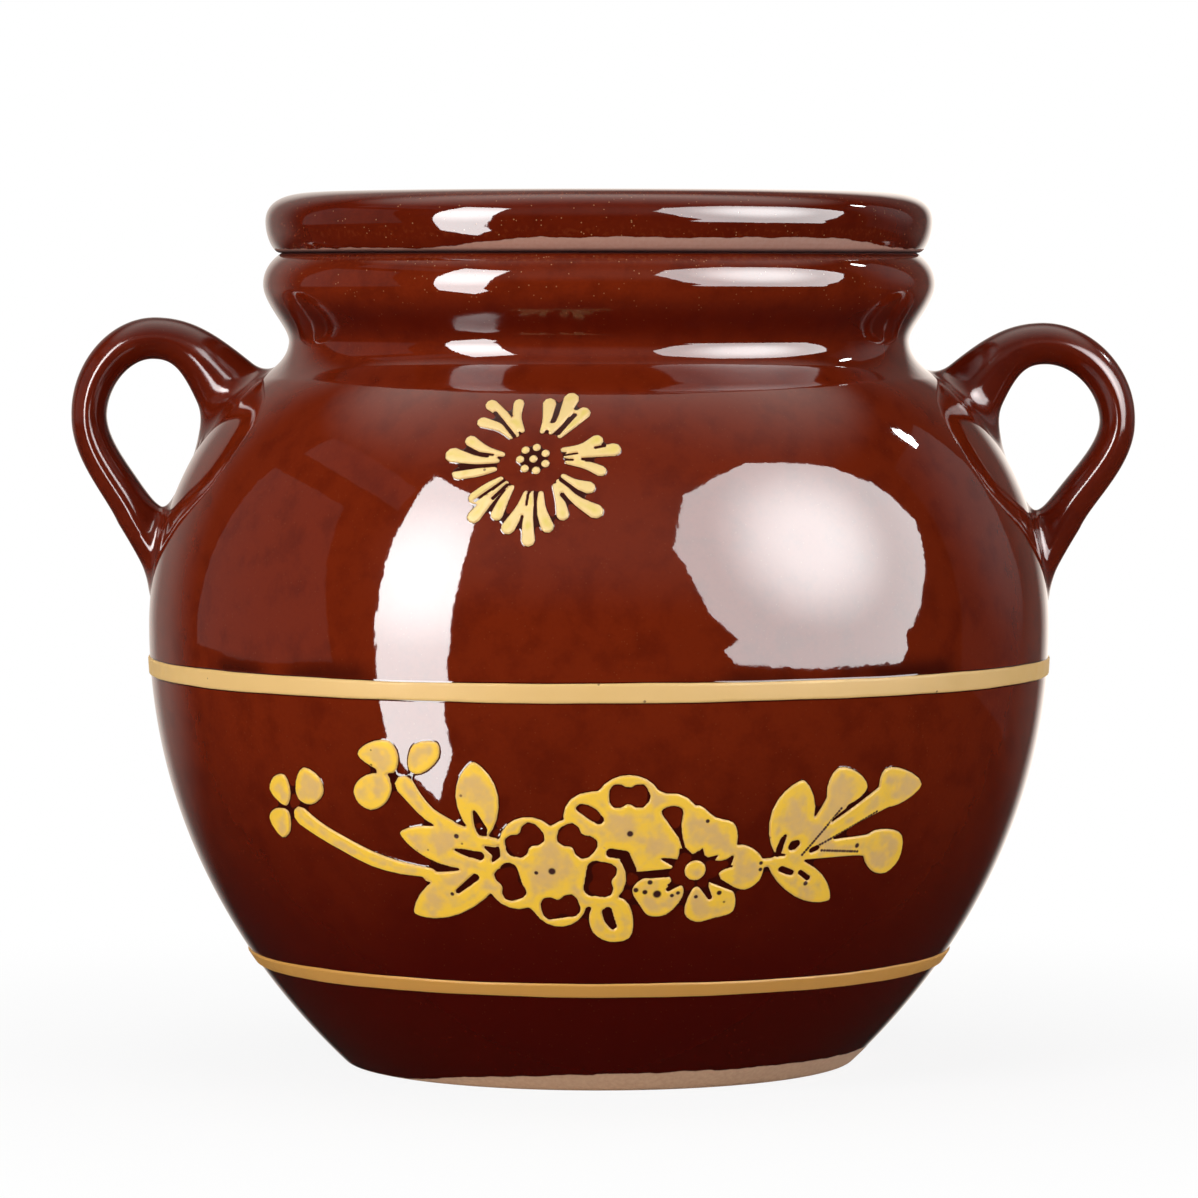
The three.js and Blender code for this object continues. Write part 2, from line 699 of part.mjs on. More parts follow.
function leaves() {
	return [
		{
			name: 'leaf_left_upper',
			outlines: [leaf([-24.6, 1], [-25.3, 17.4], 4.5)],
			openings: [stroke([[-25.8, 6.6, 0.3], [-24.9, 3.4, 1.1], [-24, 0.4, 0.8]], 4)],
		},
		{
			name: 'leaf_left_middle',
			outlines: [leaf([-23, -4.6], [-43, 1.2], 4.2)],
			openings: [stroke([[-30.8, -2.2, 0.3], [-27.4, -3.1, 0.9], [-25.8, -3.6, 0.4]], 4)],
		},
		{
			name: 'leaf_left_lower',
			outlines: [leaf([-22, -7.6], [-43.4, -17.8], 4.7)],
			openings: [stroke([[-31.8, -12, 0.3], [-28.6, -9.9, 0.7], [-27, -8.7, 0.3]], 4)],
		},
		{
			name: 'leaf_bottom',
			outlines: [petal([
				[0.4, -13], [-2.2, -17], [-1.4, -21.4], [2, -23.8], [7, -23], [7.7, -18], [5.6, -13.4],
			])],
			openings: [stroke([[1.2, -16.2, 0.6], [2.2, -18.4, 1], [3.2, -20.4, 0.5]], 4)],
		},
		{
			name: 'leaf_right_upper',
			outlines: [leaf([39.6, -3.4], [42.6, 12.9], 5)],
			openings: [stroke([[38.8, -2.6, 0.5], [39.7, 0, 0.6]], 3), disc([42.3, -1.6], 1.05)],
		},
		{
			name: 'leaf_right_lower',
			outlines: [leaf([37.6, -5], [54.8, -15.1], 3.8)],
			openings: [stroke([[40.2, -7.1, 0.6], [42.6, -7.9, 0.7]], 3)],
		},
	];
}

function stemsAndBuds() {
	return [
		{ name: 'stem_left', outlines: [stroke([
			[-40.4, 11.8, 2.2], [-38.5, 9, 1.8], [-35.5, 5.5, 1.6], [-31, 3, 1.4],
		], 6)] },
		{ name: 'stem_far_left', outlines: [stroke([
			[-67.9, 3.6, 2.2], [-64, 1, 1.9], [-58, -2, 1.8], [-51, -5.2, 1.8], [-44, -7, 1.5], [-37, -7.8, 1.1],
		], 10)] },
		{ name: 'bud_left_petal_1', outlines: [petal([
			[-50.6, 18.2], [-48, 20.6], [-43, 21.3], [-41.2, 18], [-42.6, 14.4], [-47.5, 15.6],
		])] },
		{ name: 'bud_left_petal_2', outlines: [petal([
			[-39.2, 17], [-37.6, 20.8], [-32.6, 21.3], [-32.4, 18], [-36.6, 14.4], [-38.8, 14.8],
		])] },
		{ name: 'bud_left_petal_3', outlines: [petal([
			[-52.6, 10.2], [-50.4, 13], [-46, 14.2], [-43.4, 12], [-45, 8], [-49, 6], [-51.8, 7.4],
		])] },
		{ name: 'bud_far_left_petal_1', outlines: [petal([
			[-76, 9], [-74, 12], [-70.6, 12.6], [-69.8, 8.6], [-72, 5.6],
		])] },
		{ name: 'bud_far_left_petal_2', outlines: [petal([
			[-67.7, 7.4], [-67.6, 11.4], [-64.8, 14.6], [-60.8, 12.4], [-60.6, 9], [-64.4, 6.4],
		])] },
		{ name: 'bud_far_left_petal_3', outlines: [petal([
			[-78.2, 2.6], [-75.6, 4.8], [-71.6, 4.6], [-72.4, 0], [-75.6, -1.8],
		])] },
		{ name: 'bud_right_1', outlines: [
			stroke([[42, -3.6, 1.1], [45.6, 0.6, 1.4], [49, 5, 2], [51.4, 8, 3]], 6),
			petal([[48.4, 11], [50.4, 15.2], [55.4, 14], [58.4, 10.6], [55.6, 7.6], [50, 6.4]]),
		] },
		{ name: 'bud_right_2', outlines: [
			stroke([[42.6, -3.8, 1], [50, 0.6, 1.7], [57, 4.8, 2.1], [64, 8.6, 3]], 6),
			petal([[61.4, 11], [62.4, 14.4], [68, 13.9], [73.6, 10.4], [70, 7.2], [64, 6]]),
		] },
		{ name: 'bud_right_3', outlines: [
			stroke([[42.6, -4.2, 1], [50, -3, 2], [58, -2.6, 2.2], [63, -2.6, 2.6]], 6),
			petal([[61, 0], [66, 0.8], [71, -1], [72, -6.6], [69, -9.6], [64.6, -8.8], [61, -5]]),
		] },
	];
}

function spray() {
	const motifs = [...blossoms(), ...leaves(), ...stemsAndBuds()];
	return layStencil(motifs, SPRAY_WIDTH / SPRAY_SQUARES, SPRAY_HEIGHT, 0);
}

const jar = new THREE.Group();
jar.add(glazed('jar_body', potBody()));
jar.add(glazed('left_handle', handle(LEFT_REACH, 0, -1)));
jar.add(glazed('right_handle', handle(RIGHT_REACH, RIGHT_HANDLE_DROP, 1)));
jar.add(glazed('lid', lid()));
jar.add(slipped('upper_band', band(UPPER_BAND_HEIGHT, UPPER_BAND_WIDTH)));
jar.add(slipped('lower_band', band(LOWER_BAND_HEIGHT, LOWER_BAND_WIDTH)));
jar.add(...rosette());
jar.add(...spray());

export default jar;
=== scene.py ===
"""A brown-glazed stoneware lard jar: a turned pot with ear handles, a loose lid and slip decoration.

Sizes are in metres in the frame's axes, +Z up, with the decorated front towards -Y.
"""

import bisect
import math

import bpy
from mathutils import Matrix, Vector
from mathutils.bvhtree import BVHTree
from mathutils.kdtree import KDTree


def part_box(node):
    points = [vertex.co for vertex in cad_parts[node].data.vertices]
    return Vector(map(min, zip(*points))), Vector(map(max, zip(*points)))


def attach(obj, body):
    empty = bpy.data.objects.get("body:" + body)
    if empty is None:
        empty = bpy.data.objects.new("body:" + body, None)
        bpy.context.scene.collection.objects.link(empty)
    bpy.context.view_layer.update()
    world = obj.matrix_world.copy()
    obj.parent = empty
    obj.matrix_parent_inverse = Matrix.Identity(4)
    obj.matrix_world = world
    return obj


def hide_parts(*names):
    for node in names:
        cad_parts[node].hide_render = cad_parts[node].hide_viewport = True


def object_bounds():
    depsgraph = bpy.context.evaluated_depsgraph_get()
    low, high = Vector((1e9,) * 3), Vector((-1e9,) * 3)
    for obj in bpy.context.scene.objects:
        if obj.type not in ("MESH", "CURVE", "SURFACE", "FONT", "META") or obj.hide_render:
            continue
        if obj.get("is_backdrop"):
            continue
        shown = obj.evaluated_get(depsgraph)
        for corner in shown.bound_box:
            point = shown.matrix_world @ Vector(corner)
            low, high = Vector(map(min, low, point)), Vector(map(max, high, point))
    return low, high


bl_info = {
    "name": "Glazed lard jar",
    "version": (1, 0, 0),
    "blender": (4, 5, 0),
    "location": "View3D > Sidebar > Lard Jar",
    "description": "Builds a glazed stoneware jar with a lid, ear handles and slip flowers",
    "category": "Add Mesh",
}

MM = 0.001
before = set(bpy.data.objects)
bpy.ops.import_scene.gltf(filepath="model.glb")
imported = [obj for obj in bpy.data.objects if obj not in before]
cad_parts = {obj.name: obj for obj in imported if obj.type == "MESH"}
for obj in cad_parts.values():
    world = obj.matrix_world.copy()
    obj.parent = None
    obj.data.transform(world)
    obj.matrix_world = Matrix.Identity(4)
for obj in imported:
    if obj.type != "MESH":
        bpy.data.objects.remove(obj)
CAD_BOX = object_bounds()
POT_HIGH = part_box("jar_body")[1]
LID_LOW, LID_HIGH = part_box("lid")

ROSETTE_NODES = [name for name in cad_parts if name.startswith("rosette")]
SPRAY_KINDS = ("blossom", "leaf", "stem", "bud")
SPRAY_NODES = [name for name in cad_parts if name.split("_")[0] in SPRAY_KINDS]

# How finely the turned and swept pieces are divided, and the angle at which an edge stays sharp
TURN_SEGMENTS = 192
STRAP_RINGS = 320
STRAP_SIDES = 80
SHARP_ANGLE = math.radians(45)

# Corners closer than this are one, and a shell with fewer vertices is a stray speck
SAME_PLACE = 1e-6
CRUMB_VERTICES = 100


# Sizes and colours that a user would change


def length(name, description, default):
    return bpy.props.FloatProperty(name=name, description=description, default=default, unit="LENGTH")


def screen(*values):
    """A colour in screen values from 0 to 255, as linear light."""
    shares = [value / 255 for value in values]
    return tuple(s / 12.92 if s <= 0.04045 else ((s + 0.055) / 1.055) ** 2.4 for s in shares)


def colour(name, description, *values):
    return bpy.props.FloatVectorProperty(
        name=name, description=description, default=screen(*values), subtype="COLOR", min=0, max=1
    )


class JarPotSizes(bpy.types.PropertyGroup):
    foot_radius: length("Foot radius", "Outer radius of the foot on the ground", 56.4 * MM)
    foot_ring: length("Foot ring", "Width of the ring that the jar stands on", 9 * MM)
    foot_recess: length("Foot recess", "Depth of the hollow inside the foot ring", 1.5 * MM)
    foot_rounding: length("Foot rounding", "Worn edge of the foot", 0.9 * MM)
    belly_radius: length("Belly radius", "Greatest radius of the pot", POT_HIGH.y)
    belly_height: length("Belly height", "Height of the widest place", 97 * MM)
    shoulder_radius: length("Shoulder radius", "Radius where the shoulder meets the neck", 70.9 * MM)
    shoulder_height: length("Shoulder height", "Height where the shoulder meets the neck", 154.6 * MM)
    neck_radius: length("Neck radius", "Least radius of the neck", 68.8 * MM)
    hollow_height: length("Hollow height", "Height where the shoulder turns up into the neck", 152.3 * MM)
    neck_height: length("Neck height", "Height of the narrowest place", 160 * MM)
    collar_radius: length("Collar radius", "Greatest radius of the collar", 74.5 * MM)
    collar_height: length("Collar height", "Height of the widest place of the collar", 172.6 * MM)
    rim_radius: length("Rim radius", "Outer radius of the flat rim", 70.4 * MM)
    rim_height: length("Rim height", "Height of the flat rim", POT_HIGH.z)
    wall: length("Wall", "Thickness of the wall", 6 * MM)
    floor: length("Floor", "Thickness of the floor", 7 * MM)
    lip_rounding: length("Lip rounding", "Rounding of the mouth's inner edge", 2 * MM)


class JarLidSizes(bpy.types.PropertyGroup):
    radius: length("Radius", "Greatest radius of the lid", LID_HIGH.y)
    seat_radius: length("Seat radius", "Outer radius of the flat seat", 70.6 * MM)
    seat_height: length("Seat height", "Height of the seat, all but on the rim", POT_HIGH.z + 0.03 * MM)
    widest_rise: length("Widest rise", "Widest place above the seat", 6.9 * MM)
    edge_rise: length("Edge rise", "Top of the rounded edge above the seat", 13.37 * MM)
    edge_width: length("Edge width", "Width of the rounded edge", 11.9 * MM)
    top: length("Top", "Height of the crown", LID_HIGH.z)
    thickness: length("Thickness", "Thickness of the top", 7 * MM)
    flange_radius: length("Flange radius", "Outer radius of the flange in the mouth", 61.8 * MM)
    flange_wall: length("Flange wall", "Thickness of the flange", 5 * MM)
    flange_bottom: length("Flange bottom", "Height of the flange's lower edge", LID_LOW.z)


class JarHandleSizes(bpy.types.PropertyGroup):
    left_reach: length("Left reach", "Reach of the left ear from the axis", -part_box("left_handle")[0].x)
    right_reach: length("Right reach", "Reach of the right ear from the axis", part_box("right_handle")[1].x)
    right_drop: length("Right drop", "How much lower the right ear sits", 1.2 * MM)
    top: length("Top", "Height of the ear's top", 165.3 * MM)
    apex_reach: length("Apex reach", "Reach of the ear's top from the axis", 98.9 * MM)
    widest_height: length("Widest height", "Height of the ear's furthest place", 143.5 * MM)
    upper_root: length("Upper root", "Height of the upper root on the shoulder", 147 * MM)
    lower_root: length("Lower root", "Height of the lower root on the belly", 119.5 * MM)
    tail: length("Tail", "Height of the thumbed tail's end", 106 * MM)
    root_sink: length("Root sink", "Depth of the upper root's middle in the wall", 3.6 * MM)
    standoff: length("Standoff", "Distance of the lower root's middle from the wall", 6.75 * MM)
    outer_fillet: length("Outer fillet", "Clay smoothed in on the far sides of the roots", 3.5 * MM)
    inner_fillet: length("Inner fillet", "Clay smoothed in on the finger side of the roots", 8 * MM)
    grain: length("Grain", "Size of the handles' faces", 0.6 * MM)


class JarSlipSizes(bpy.types.PropertyGroup):
    rise: length("Rise", "How far the slip stands above the glaze", 0.42 * MM)
    rounding: length("Rounding", "Rounding of the slip's edges", 0.45 * MM)
    depth: length("Depth", "Depth of the slip's base under the glaze", 0.8 * MM)
    spray_grain: length("Spray grain", "Size of the faces of the spray", 0.25 * MM)
    rosette_grain: length("Rosette grain", "Size of the faces of the rosette", 0.18 * MM)
    bead_width: length("Bead width", "Width of the glaze drawn up round the spray and bands", 0.8 * MM)
    rosette_bead: length("Rosette bead", "Width of the glaze drawn up round the rosette", 0.5 * MM)
    bead_rise: length("Bead rise", "How far the glaze is drawn up at the slip", 0.07 * MM)
    bead_grain: length("Bead grain", "Size of the faces of the glaze bead", 0.3 * MM)
    band_wobble: length("Band wobble", "Unevenness of the bands' edges", 0.22 * MM)


class JarColours(bpy.types.PropertyGroup):
    # Upper and lower glaze: the lower is darker partly from thicker glaze and partly as painted shade where
    # the pot faces down
    thin_glaze: colour("Thin glaze", "Glaze on the upper half", 113, 34, 10)
    thick_glaze_and_shade: colour("Thick glaze", "Glaze on the lower half", 70, 9, 3)
    # Pooled glaze also paints the shade in the gap between the lid and the collar
    pooled_glaze_and_shade: colour("Pooled glaze", "Glaze drawn up round the slip", 56, 12, 6)
    broken_glaze: colour("Broken glaze", "Glaze where an edge breaks through", 140, 66, 32)
    fleck: colour("Fleck", "Light flecks in the glaze", 196, 140, 96)
    foot_clay: colour("Foot clay", "Unglazed clay at the foot", 214, 176, 140)
    lid_clay: colour("Lid clay", "Unglazed clay under the lid", 166, 122, 104)
    slip_tan: colour("Flower tan", "Middle of the slip flowers", 220, 176, 108)
    slip_gold: colour("Flower gold", "Margins of the slip flowers", 252, 202, 56)
    slip_edge: colour("Flower edge", "Thin outermost edge of the slip flowers", 226, 180, 104)
    petal: colour("Rosette petal", "Middle of the rosette's petals", 226, 200, 88)
    petal_margin: colour("Rosette margin", "Margins of the rosette's petals", 240, 208, 138)
    petal_edge: colour("Rosette edge", "Thin outermost edge of the rosette", 234, 192, 128)
    upper_band: colour("Upper band", "Slip of the upper band", 230, 188, 118)
    # The lower band is the upper band's slip, written darker as painted shade because it faces down
    lower_band: colour("Lower band", "Slip of the lower band", 210, 152, 70)
    floor: colour("Floor", "Pale floor", 240, 240, 240)


# The pot's outer face


def between(first, last, share):
    return first + (last - first) * share


def bezier(corners, steps):
    """Points along a Bezier curve, without its first corner."""
    order = len(corners) - 1
    points = []
    for step in range(1, steps + 1):
        share = step / steps
        point = Vector((0, 0))
        for rank, corner in enumerate(corners):
            weight = math.comb(order, rank) * share**rank * (1 - share) ** (order - rank)
            point += weight * Vector(corner)
        points.append(point)
    return points


def pot_outline(pot):
    """The outside from the foot's edge up to the rim, as (radius, height)."""
    foot = (pot.foot_radius, 0)
    belly = (pot.belly_radius, pot.belly_height)
    shoulder = (pot.shoulder_radius, pot.shoulder_height)
    neck = (pot.neck_radius, pot.neck_height)
    collar = (pot.collar_radius, pot.collar_height)
    rim = (pot.rim_radius, pot.rim_height)
    outline = [Vector(foot)]
    outline += bezier([
        foot,
        (between(pot.foot_radius, pot.belly_radius, 0.58), 0.247 * pot.belly_height),
        (pot.belly_radius, 0.588 * pot.belly_height),
        belly,
    ], 56)
    shoulder_curve = bezier([
        belly,
        (pot.belly_radius, between(pot.belly_height, pot.shoulder_height, 0.441)),
        (
            between(pot.shoulder_radius, pot.belly_radius, 0.533),
            between(pot.shoulder_height, pot.belly_height, 0.129),
        ),
        shoulder,
    ], 60)
    outline += [point for point in shoulder_curve if point.y < pot.hollow_height]
    hollow = outline[-1]
    outline += bezier([
        hollow,
        (between(hollow.x, neck[0], 0.45), between(hollow.y, neck[1], 0.22)),
        (between(hollow.x, neck[0], 0.97), between(hollow.y, neck[1], 0.52)),
        neck,
    ], 18)
    outline += bezier([
        neck,
        (pot.neck_radius, between(pot.neck_height, pot.collar_height, 0.254)),
        (pot.collar_radius, between(pot.collar_height, pot.neck_height, 0.35)),
        collar,
    ], 20)
    outline += bezier([
        collar,
        (pot.collar_radius, between(pot.collar_height, pot.rim_height, 0.52)),
        (
            between(pot.rim_radius, pot.collar_radius, 0.437),
            between(pot.rim_height, pot.collar_height, 0.16),
        ),
        rim,
    ], 14)
    return outline


class PotFace:
    """The pot's outer face, looked up by height or by the distance up its outline."""

    def __init__(self, outline):
        self.points = outline
        self.heights = [point.y for point in outline]
        self.arcs = [0.0]
        for first, last in zip(outline, outline[1:]):
            self.arcs.append(self.arcs[-1] + (last - first).length)
        self.normals = []
        for index in range(len(outline)):
            before = outline[max(index - 1, 0)]
            after = outline[min(index + 1, len(outline) - 1)]
            along = (after - before).normalized()
            self.normals.append(Vector((along.y, -along.x)))

    def look_up(self, keys, key):
        """The point and normal where a rising list of keys reaches a value."""
        last = min(max(bisect.bisect(keys, key), 1), len(keys) - 1)
        share = min(max((key - keys[last - 1]) / (keys[last] - keys[last - 1]), 0), 1)
        point = self.points[last - 1].lerp(self.points[last], share)
        normal = self.normals[last - 1].lerp(self.normals[last], share).normalized()
        return point, normal

    def at_height(self, height, lift=0.0):
        point, normal = self.look_up(self.heights, height)
        return point + lift * normal

    def at_arc(self, arc, lift=0.0):
        point, normal = self.look_up(self.arcs, arc)
        return point + lift * normal

    def arc(self, height):
        point = self.at_height(height)
        last = min(max(bisect.bisect(self.heights, height), 1), len(self.heights) - 1)
        return self.arcs[last - 1] + (point - self.points[last - 1]).length

    def lift(self, place):
        """How far a place lies outside the face."""
        point, normal = self.look_up(self.heights, place.z)
        return (math.hypot(place.x, place.y) - point.x) * normal.x

    def nearest(self, place):
        """The lift of a place over the nearest spot of the face, and the way out of the face there."""
        radius = math.hypot(place.x, place.y)
        spot = Vector((radius, place.z))
        arc = self.arc(place.z)
        for _ in range(3):
            point, normal = self.look_up(self.arcs, arc)
            arc += (spot - point).dot(Vector((-normal.y, normal.x)))
        way = Vector((place.x * normal.x / radius, place.y * normal.x / radius, normal.y))
        return (spot - point).dot(normal), way

    def settle(self, place, lift):
        """The place over the same spot of the face, at another lift."""
        _, normal = self.look_up(self.heights, place.z)
        radius = math.hypot(place.x, place.y)
        change = lift - self.lift(place)
        scale = (radius + change * normal.x) / radius
        return Vector((place.x * scale, place.y * scale, place.z + change * normal.y))


def pot_face():
    return PotFace(pot_outline(bpy.context.scene.jar_pot))


# Modelling helpers


def deselect():
    bpy.ops.object.select_all(action="DESELECT")


def turned(name, section):
    """Draws a section as a line of edges and spins it round the Z axis into one closed skin."""
    deselect()
    bpy.ops.mesh.primitive_plane_add(size=MM, location=(0, 0, 0))
    piece = bpy.context.object
    piece.name = name
    bpy.ops.object.mode_set(mode="EDIT")
    bpy.ops.mesh.select_all(action="SELECT")
    bpy.ops.mesh.merge(type="CENTER")
    bpy.ops.transform.translate(value=(section[0].x, 0, section[0].y))
    for first, last in zip(section, section[1:]):
        step = last - first
        bpy.ops.mesh.extrude_region_move(TRANSFORM_OT_translate={"value": (step.x, 0, step.y)})
    bpy.ops.mesh.select_all(action="SELECT")
    bpy.ops.mesh.spin(steps=TURN_SEGMENTS, angle=math.tau, center=(0, 0, 0), axis=(0, 0, 1))
    bpy.ops.mesh.select_all(action="SELECT")
    bpy.ops.mesh.remove_doubles(threshold=SAME_PLACE)
    bpy.ops.mesh.normals_make_consistent(inside=False)
    bpy.ops.object.mode_set(mode="OBJECT")
    bpy.ops.object.shade_smooth_by_angle(angle=SHARP_ANGLE)
    return piece


def apply_modifier(piece, kind, **settings):
    deselect()
    piece.select_set(True)
    bpy.context.view_layer.objects.active = piece
    modifier = piece.modifiers.new(kind.title(), kind)
    for key, value in settings.items():
        setattr(modifier, key, value)
    bpy.ops.object.modifier_apply(modifier=modifier.name)


def keep_values(piece, name, values):
    """Stores a number for each vertex, which the piece's material reads."""
    attribute = piece.data.attributes.new(name, "FLOAT", "POINT")
    attribute.data.foreach_set("value", values)


def dress(piece, material, slot, *nodes, body="jar"):
    """Finishes a piece: its material, the body that it rides on and the nodes that it stands for."""
    piece.data.materials.clear()
    piece.data.materials.append(material)
    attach(piece, body)
    if nodes:
        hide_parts(*nodes)


# Shader maths


class Wire:
    """One socket in a node tree. Sums on wires add Math nodes to the tree."""

    def __init__(self, tree, socket=None):
        self.tree = tree
        self.socket = socket

    def node(self, kind, inputs=None, output=0, **settings):
        """Adds a node, sets it up, fills its inputs, and gives one of its outputs."""
        added = self.tree.nodes.new(kind)
        for key, value in settings.items():
            setattr(added, key, value)
        for key, value in (inputs or {}).items():
            if isinstance(value, Wire):
                self.tree.links.new(value.socket, added.inputs[key])
            else:
                added.inputs[key].default_value = value
        return Wire(self.tree, added.outputs[output] if added.outputs else None)

    def other(self, output):
        """Another output of the same node."""
        return Wire(self.tree, self.socket.node.outputs[output])

    def math(self, operation, first, last):
        return self.node("ShaderNodeMath", {0: first, 1: last}, operation=operation)

    def __add__(self, other):
        return self.math("ADD", self, other)

    def __radd__(self, other):
        return self.math("ADD", other, self)

    def __sub__(self, other):
        return self.math("SUBTRACT", self, other)

    def __rsub__(self, other):
        return self.math("SUBTRACT", other, self)

    def __mul__(self, other):
        return self.math("MULTIPLY", self, other)

    def __rmul__(self, other):
        return self.math("MULTIPLY", other, self)

    def __gt__(self, other):
        return self.math("GREATER_THAN", self, other)


def smooth(value, low, high):
    """0 below low, 1 above high, and smooth between them."""
    inputs = {"Value": value, "From Min": low, "From Max": high}
    return value.node("ShaderNodeMapRange", inputs, interpolation_type="SMOOTHSTEP")


def hump(value, middle, spread):
    """1 at the middle, falling to 0 at the spread on both sides."""
    return smooth(value, middle - spread, middle) * (1 - smooth(value, middle, middle + spread))


def mixed(mask, first, last):
    """The first colour where the mask is 0, and the last where it is 1."""
    first = first if isinstance(first, Wire) else (*first, 1)
    last = last if isinstance(last, Wire) else (*last, 1)
    return mask.node("ShaderNodeMix", {0: mask, 6: first, 7: last}, output=2, data_type="RGBA")


def grain(place, scale, detail=2.0):
    return place.node("ShaderNodeTexNoise", {"Vector": place, "Scale": scale, "Detail": detail})


def specks(place, scale, size, share):
    """Small round spots in some of the cells of a Voronoi pattern."""
    distance = place.node("ShaderNodeTexVoronoi", {"Vector": place, "Scale": scale})
    chance = distance.node("ShaderNodeSeparateColor", {0: distance.other("Color")})
    return (1 - smooth(distance, 0.6 * size, size)) * (chance > 1 - share)


def start_material(name):
    material = bpy.data.materials.new(name)
    material.use_nodes = True
    material.node_tree.nodes.clear()
    return material, Wire(material.node_tree)


def finish_material(wire, shader):
    wire.node("ShaderNodeOutputMaterial", {"Surface": shader})


# Finishes

# In millimetres: the heights between which the glaze thins and grows lighter, its darker lower part partly
# painted shade, and the middle and spread of the neck's painted shade, partly thicker glaze, and of its dull
# groove
THIN_AND_LIT_HEIGHTS = (24, 92)
NECK_PAINTED_SHADE = (165, 7)
NECK_DULL = (166, 6)

# Edges that break through the glaze: height, spread and share. Heights between which light flecks set in
BROKEN_EDGES = [(178.2, 1.6, 1), (183.6, 1.8, 0.5), (191.8, 1.4, 1)]
FLECKED = (163, 178)

# Heights where the glaze gathers above the upper band, the middle and spread of the painted shade in the
# seam under the lid, where the glaze is also made rough, and the softness of the bare clay's edge
POOL_START, POOL_FULL, POOL_END = 89, 91, 96
LID_SEAM_SHADE = (179.6, 0.9)
CLAY_EDGE = 0.08


def foot_clay(height, across, ragged):
    """Bare clay at the foot, higher on the right and all but dying out towards the left."""
    left, right = smooth(across, -46, -24), smooth(across, -34, 10)
    reach = 0.2 + 2.4 * left + 1.8 * right + 1.1 * (ragged - 0.5)
    return smooth(reach - height, -CLAY_EDGE, CLAY_EDGE)


def lid_clay(height, across, ragged):
    """Bare clay under the lid and along the lower edge of its side."""
    seat = bpy.context.scene.jar_lid.seat_height / MM
    front = smooth(across, -40, -12) * (1 - smooth(across, 48, 68))
    reach = 0.8 + 2.2 * front + 1.2 * (ragged - 0.5)
    return smooth(seat + reach - height, -CLAY_EDGE, CLAY_EDGE)


def glaze_material(name, thickness, satin, clay=None, clay_colour=None):
    """Brown glaze: red where it is thin, darker lower down and under the collar partly as painted shade,
    nearly black where it gathers, broken on the edges, with painted shade in the lid's seam.
    """
    colours = bpy.context.scene.jar_colours
    material, wire = start_material(name)
    place = wire.node("ShaderNodeTexCoord", output="Object")
    across = place.node("ShaderNodeSeparateXYZ", {0: place})
    height = across.other("Z") * (1 / MM)
    across = across * (1 / MM)
    cloud = grain(place, 24)
    mottle = grain(place, 160, 4)
    ragged = grain(place, 210, 3)
    fine = grain(place, 1100, 2)

    # Darker towards the bottom: partly thicker glaze, partly painted shade
    thin_and_lit = smooth(height + 34 * (cloud - 0.5), *THIN_AND_LIT_HEIGHTS) * (1 - thickness)
    # Painted shade under the collar's overhang, partly thicker glaze
    thin_and_lit = thin_and_lit * (1 - 0.75 * hump(height, *NECK_PAINTED_SHADE))
    thin_and_lit = thin_and_lit * (1 - 0.35 * smooth(mottle, 0.42, 0.72)) * (0.8 + 0.4 * fine)
    glaze = mixed(thin_and_lit, colours.thick_glaze_and_shade, colours.thin_glaze)
    edges = sum(share * hump(height, middle, spread) for middle, spread, share in BROKEN_EDGES)
    glaze = mixed(0.35 * edges * smooth(fine, 0.5, 0.68), glaze, colours.broken_glaze)
    flecks = specks(place, 1900, 0.36, 0.045) * (0.06 + 0.5 * smooth(height, *FLECKED))
    glaze = mixed(flecks, glaze, colours.fleck)
    above_band = smooth(height, POOL_START, POOL_FULL) * (1 - smooth(height, POOL_FULL, POOL_END))
    pooling = wire.node("ShaderNodeAttribute", output="Fac", attribute_name="pooling")
    drawn_up = smooth(pooling, 0.2, 1)
    pooled = drawn_up.math("MAXIMUM", drawn_up, 0.85 * above_band * smooth(cloud, 0.5, 0.62))
    base = mixed(pooled, glaze, colours.pooled_glaze_and_shade)
    roughness = 0.015 + satin + 0.03 * mottle + 0.07 * hump(height, *NECK_DULL)
    relief = grain(place, 60, 1) + 0.12 * grain(place, 330, 2)

    if clay:
        bare = clay(height, across, ragged)
        base = mixed(bare, base, mixed(0.4 * fine, clay_colour, colours.broken_glaze))
        roughness = between(roughness, 0.8, bare)
        relief = relief + (0.12 * fine - 0.5) * bare
    # Painted shade in the gap under the lid, with rougher glaze there
    seam_shade = hump(height, *LID_SEAM_SHADE)
    base = mixed(seam_shade, base, colours.pooled_glaze_and_shade)
    roughness = between(roughness, 0.6, seam_shade)
    bump = wire.node("ShaderNodeBump", {"Strength": 1, "Distance": 0.1 * MM, "Height": relief})
    shader = wire.node("ShaderNodeBsdfPrincipled", {
        "Base Color": base,
        "Roughness": roughness,
        "IOR": 1.5,
        "Normal": bump,
    })
    finish_material(wire, shader)
    return material


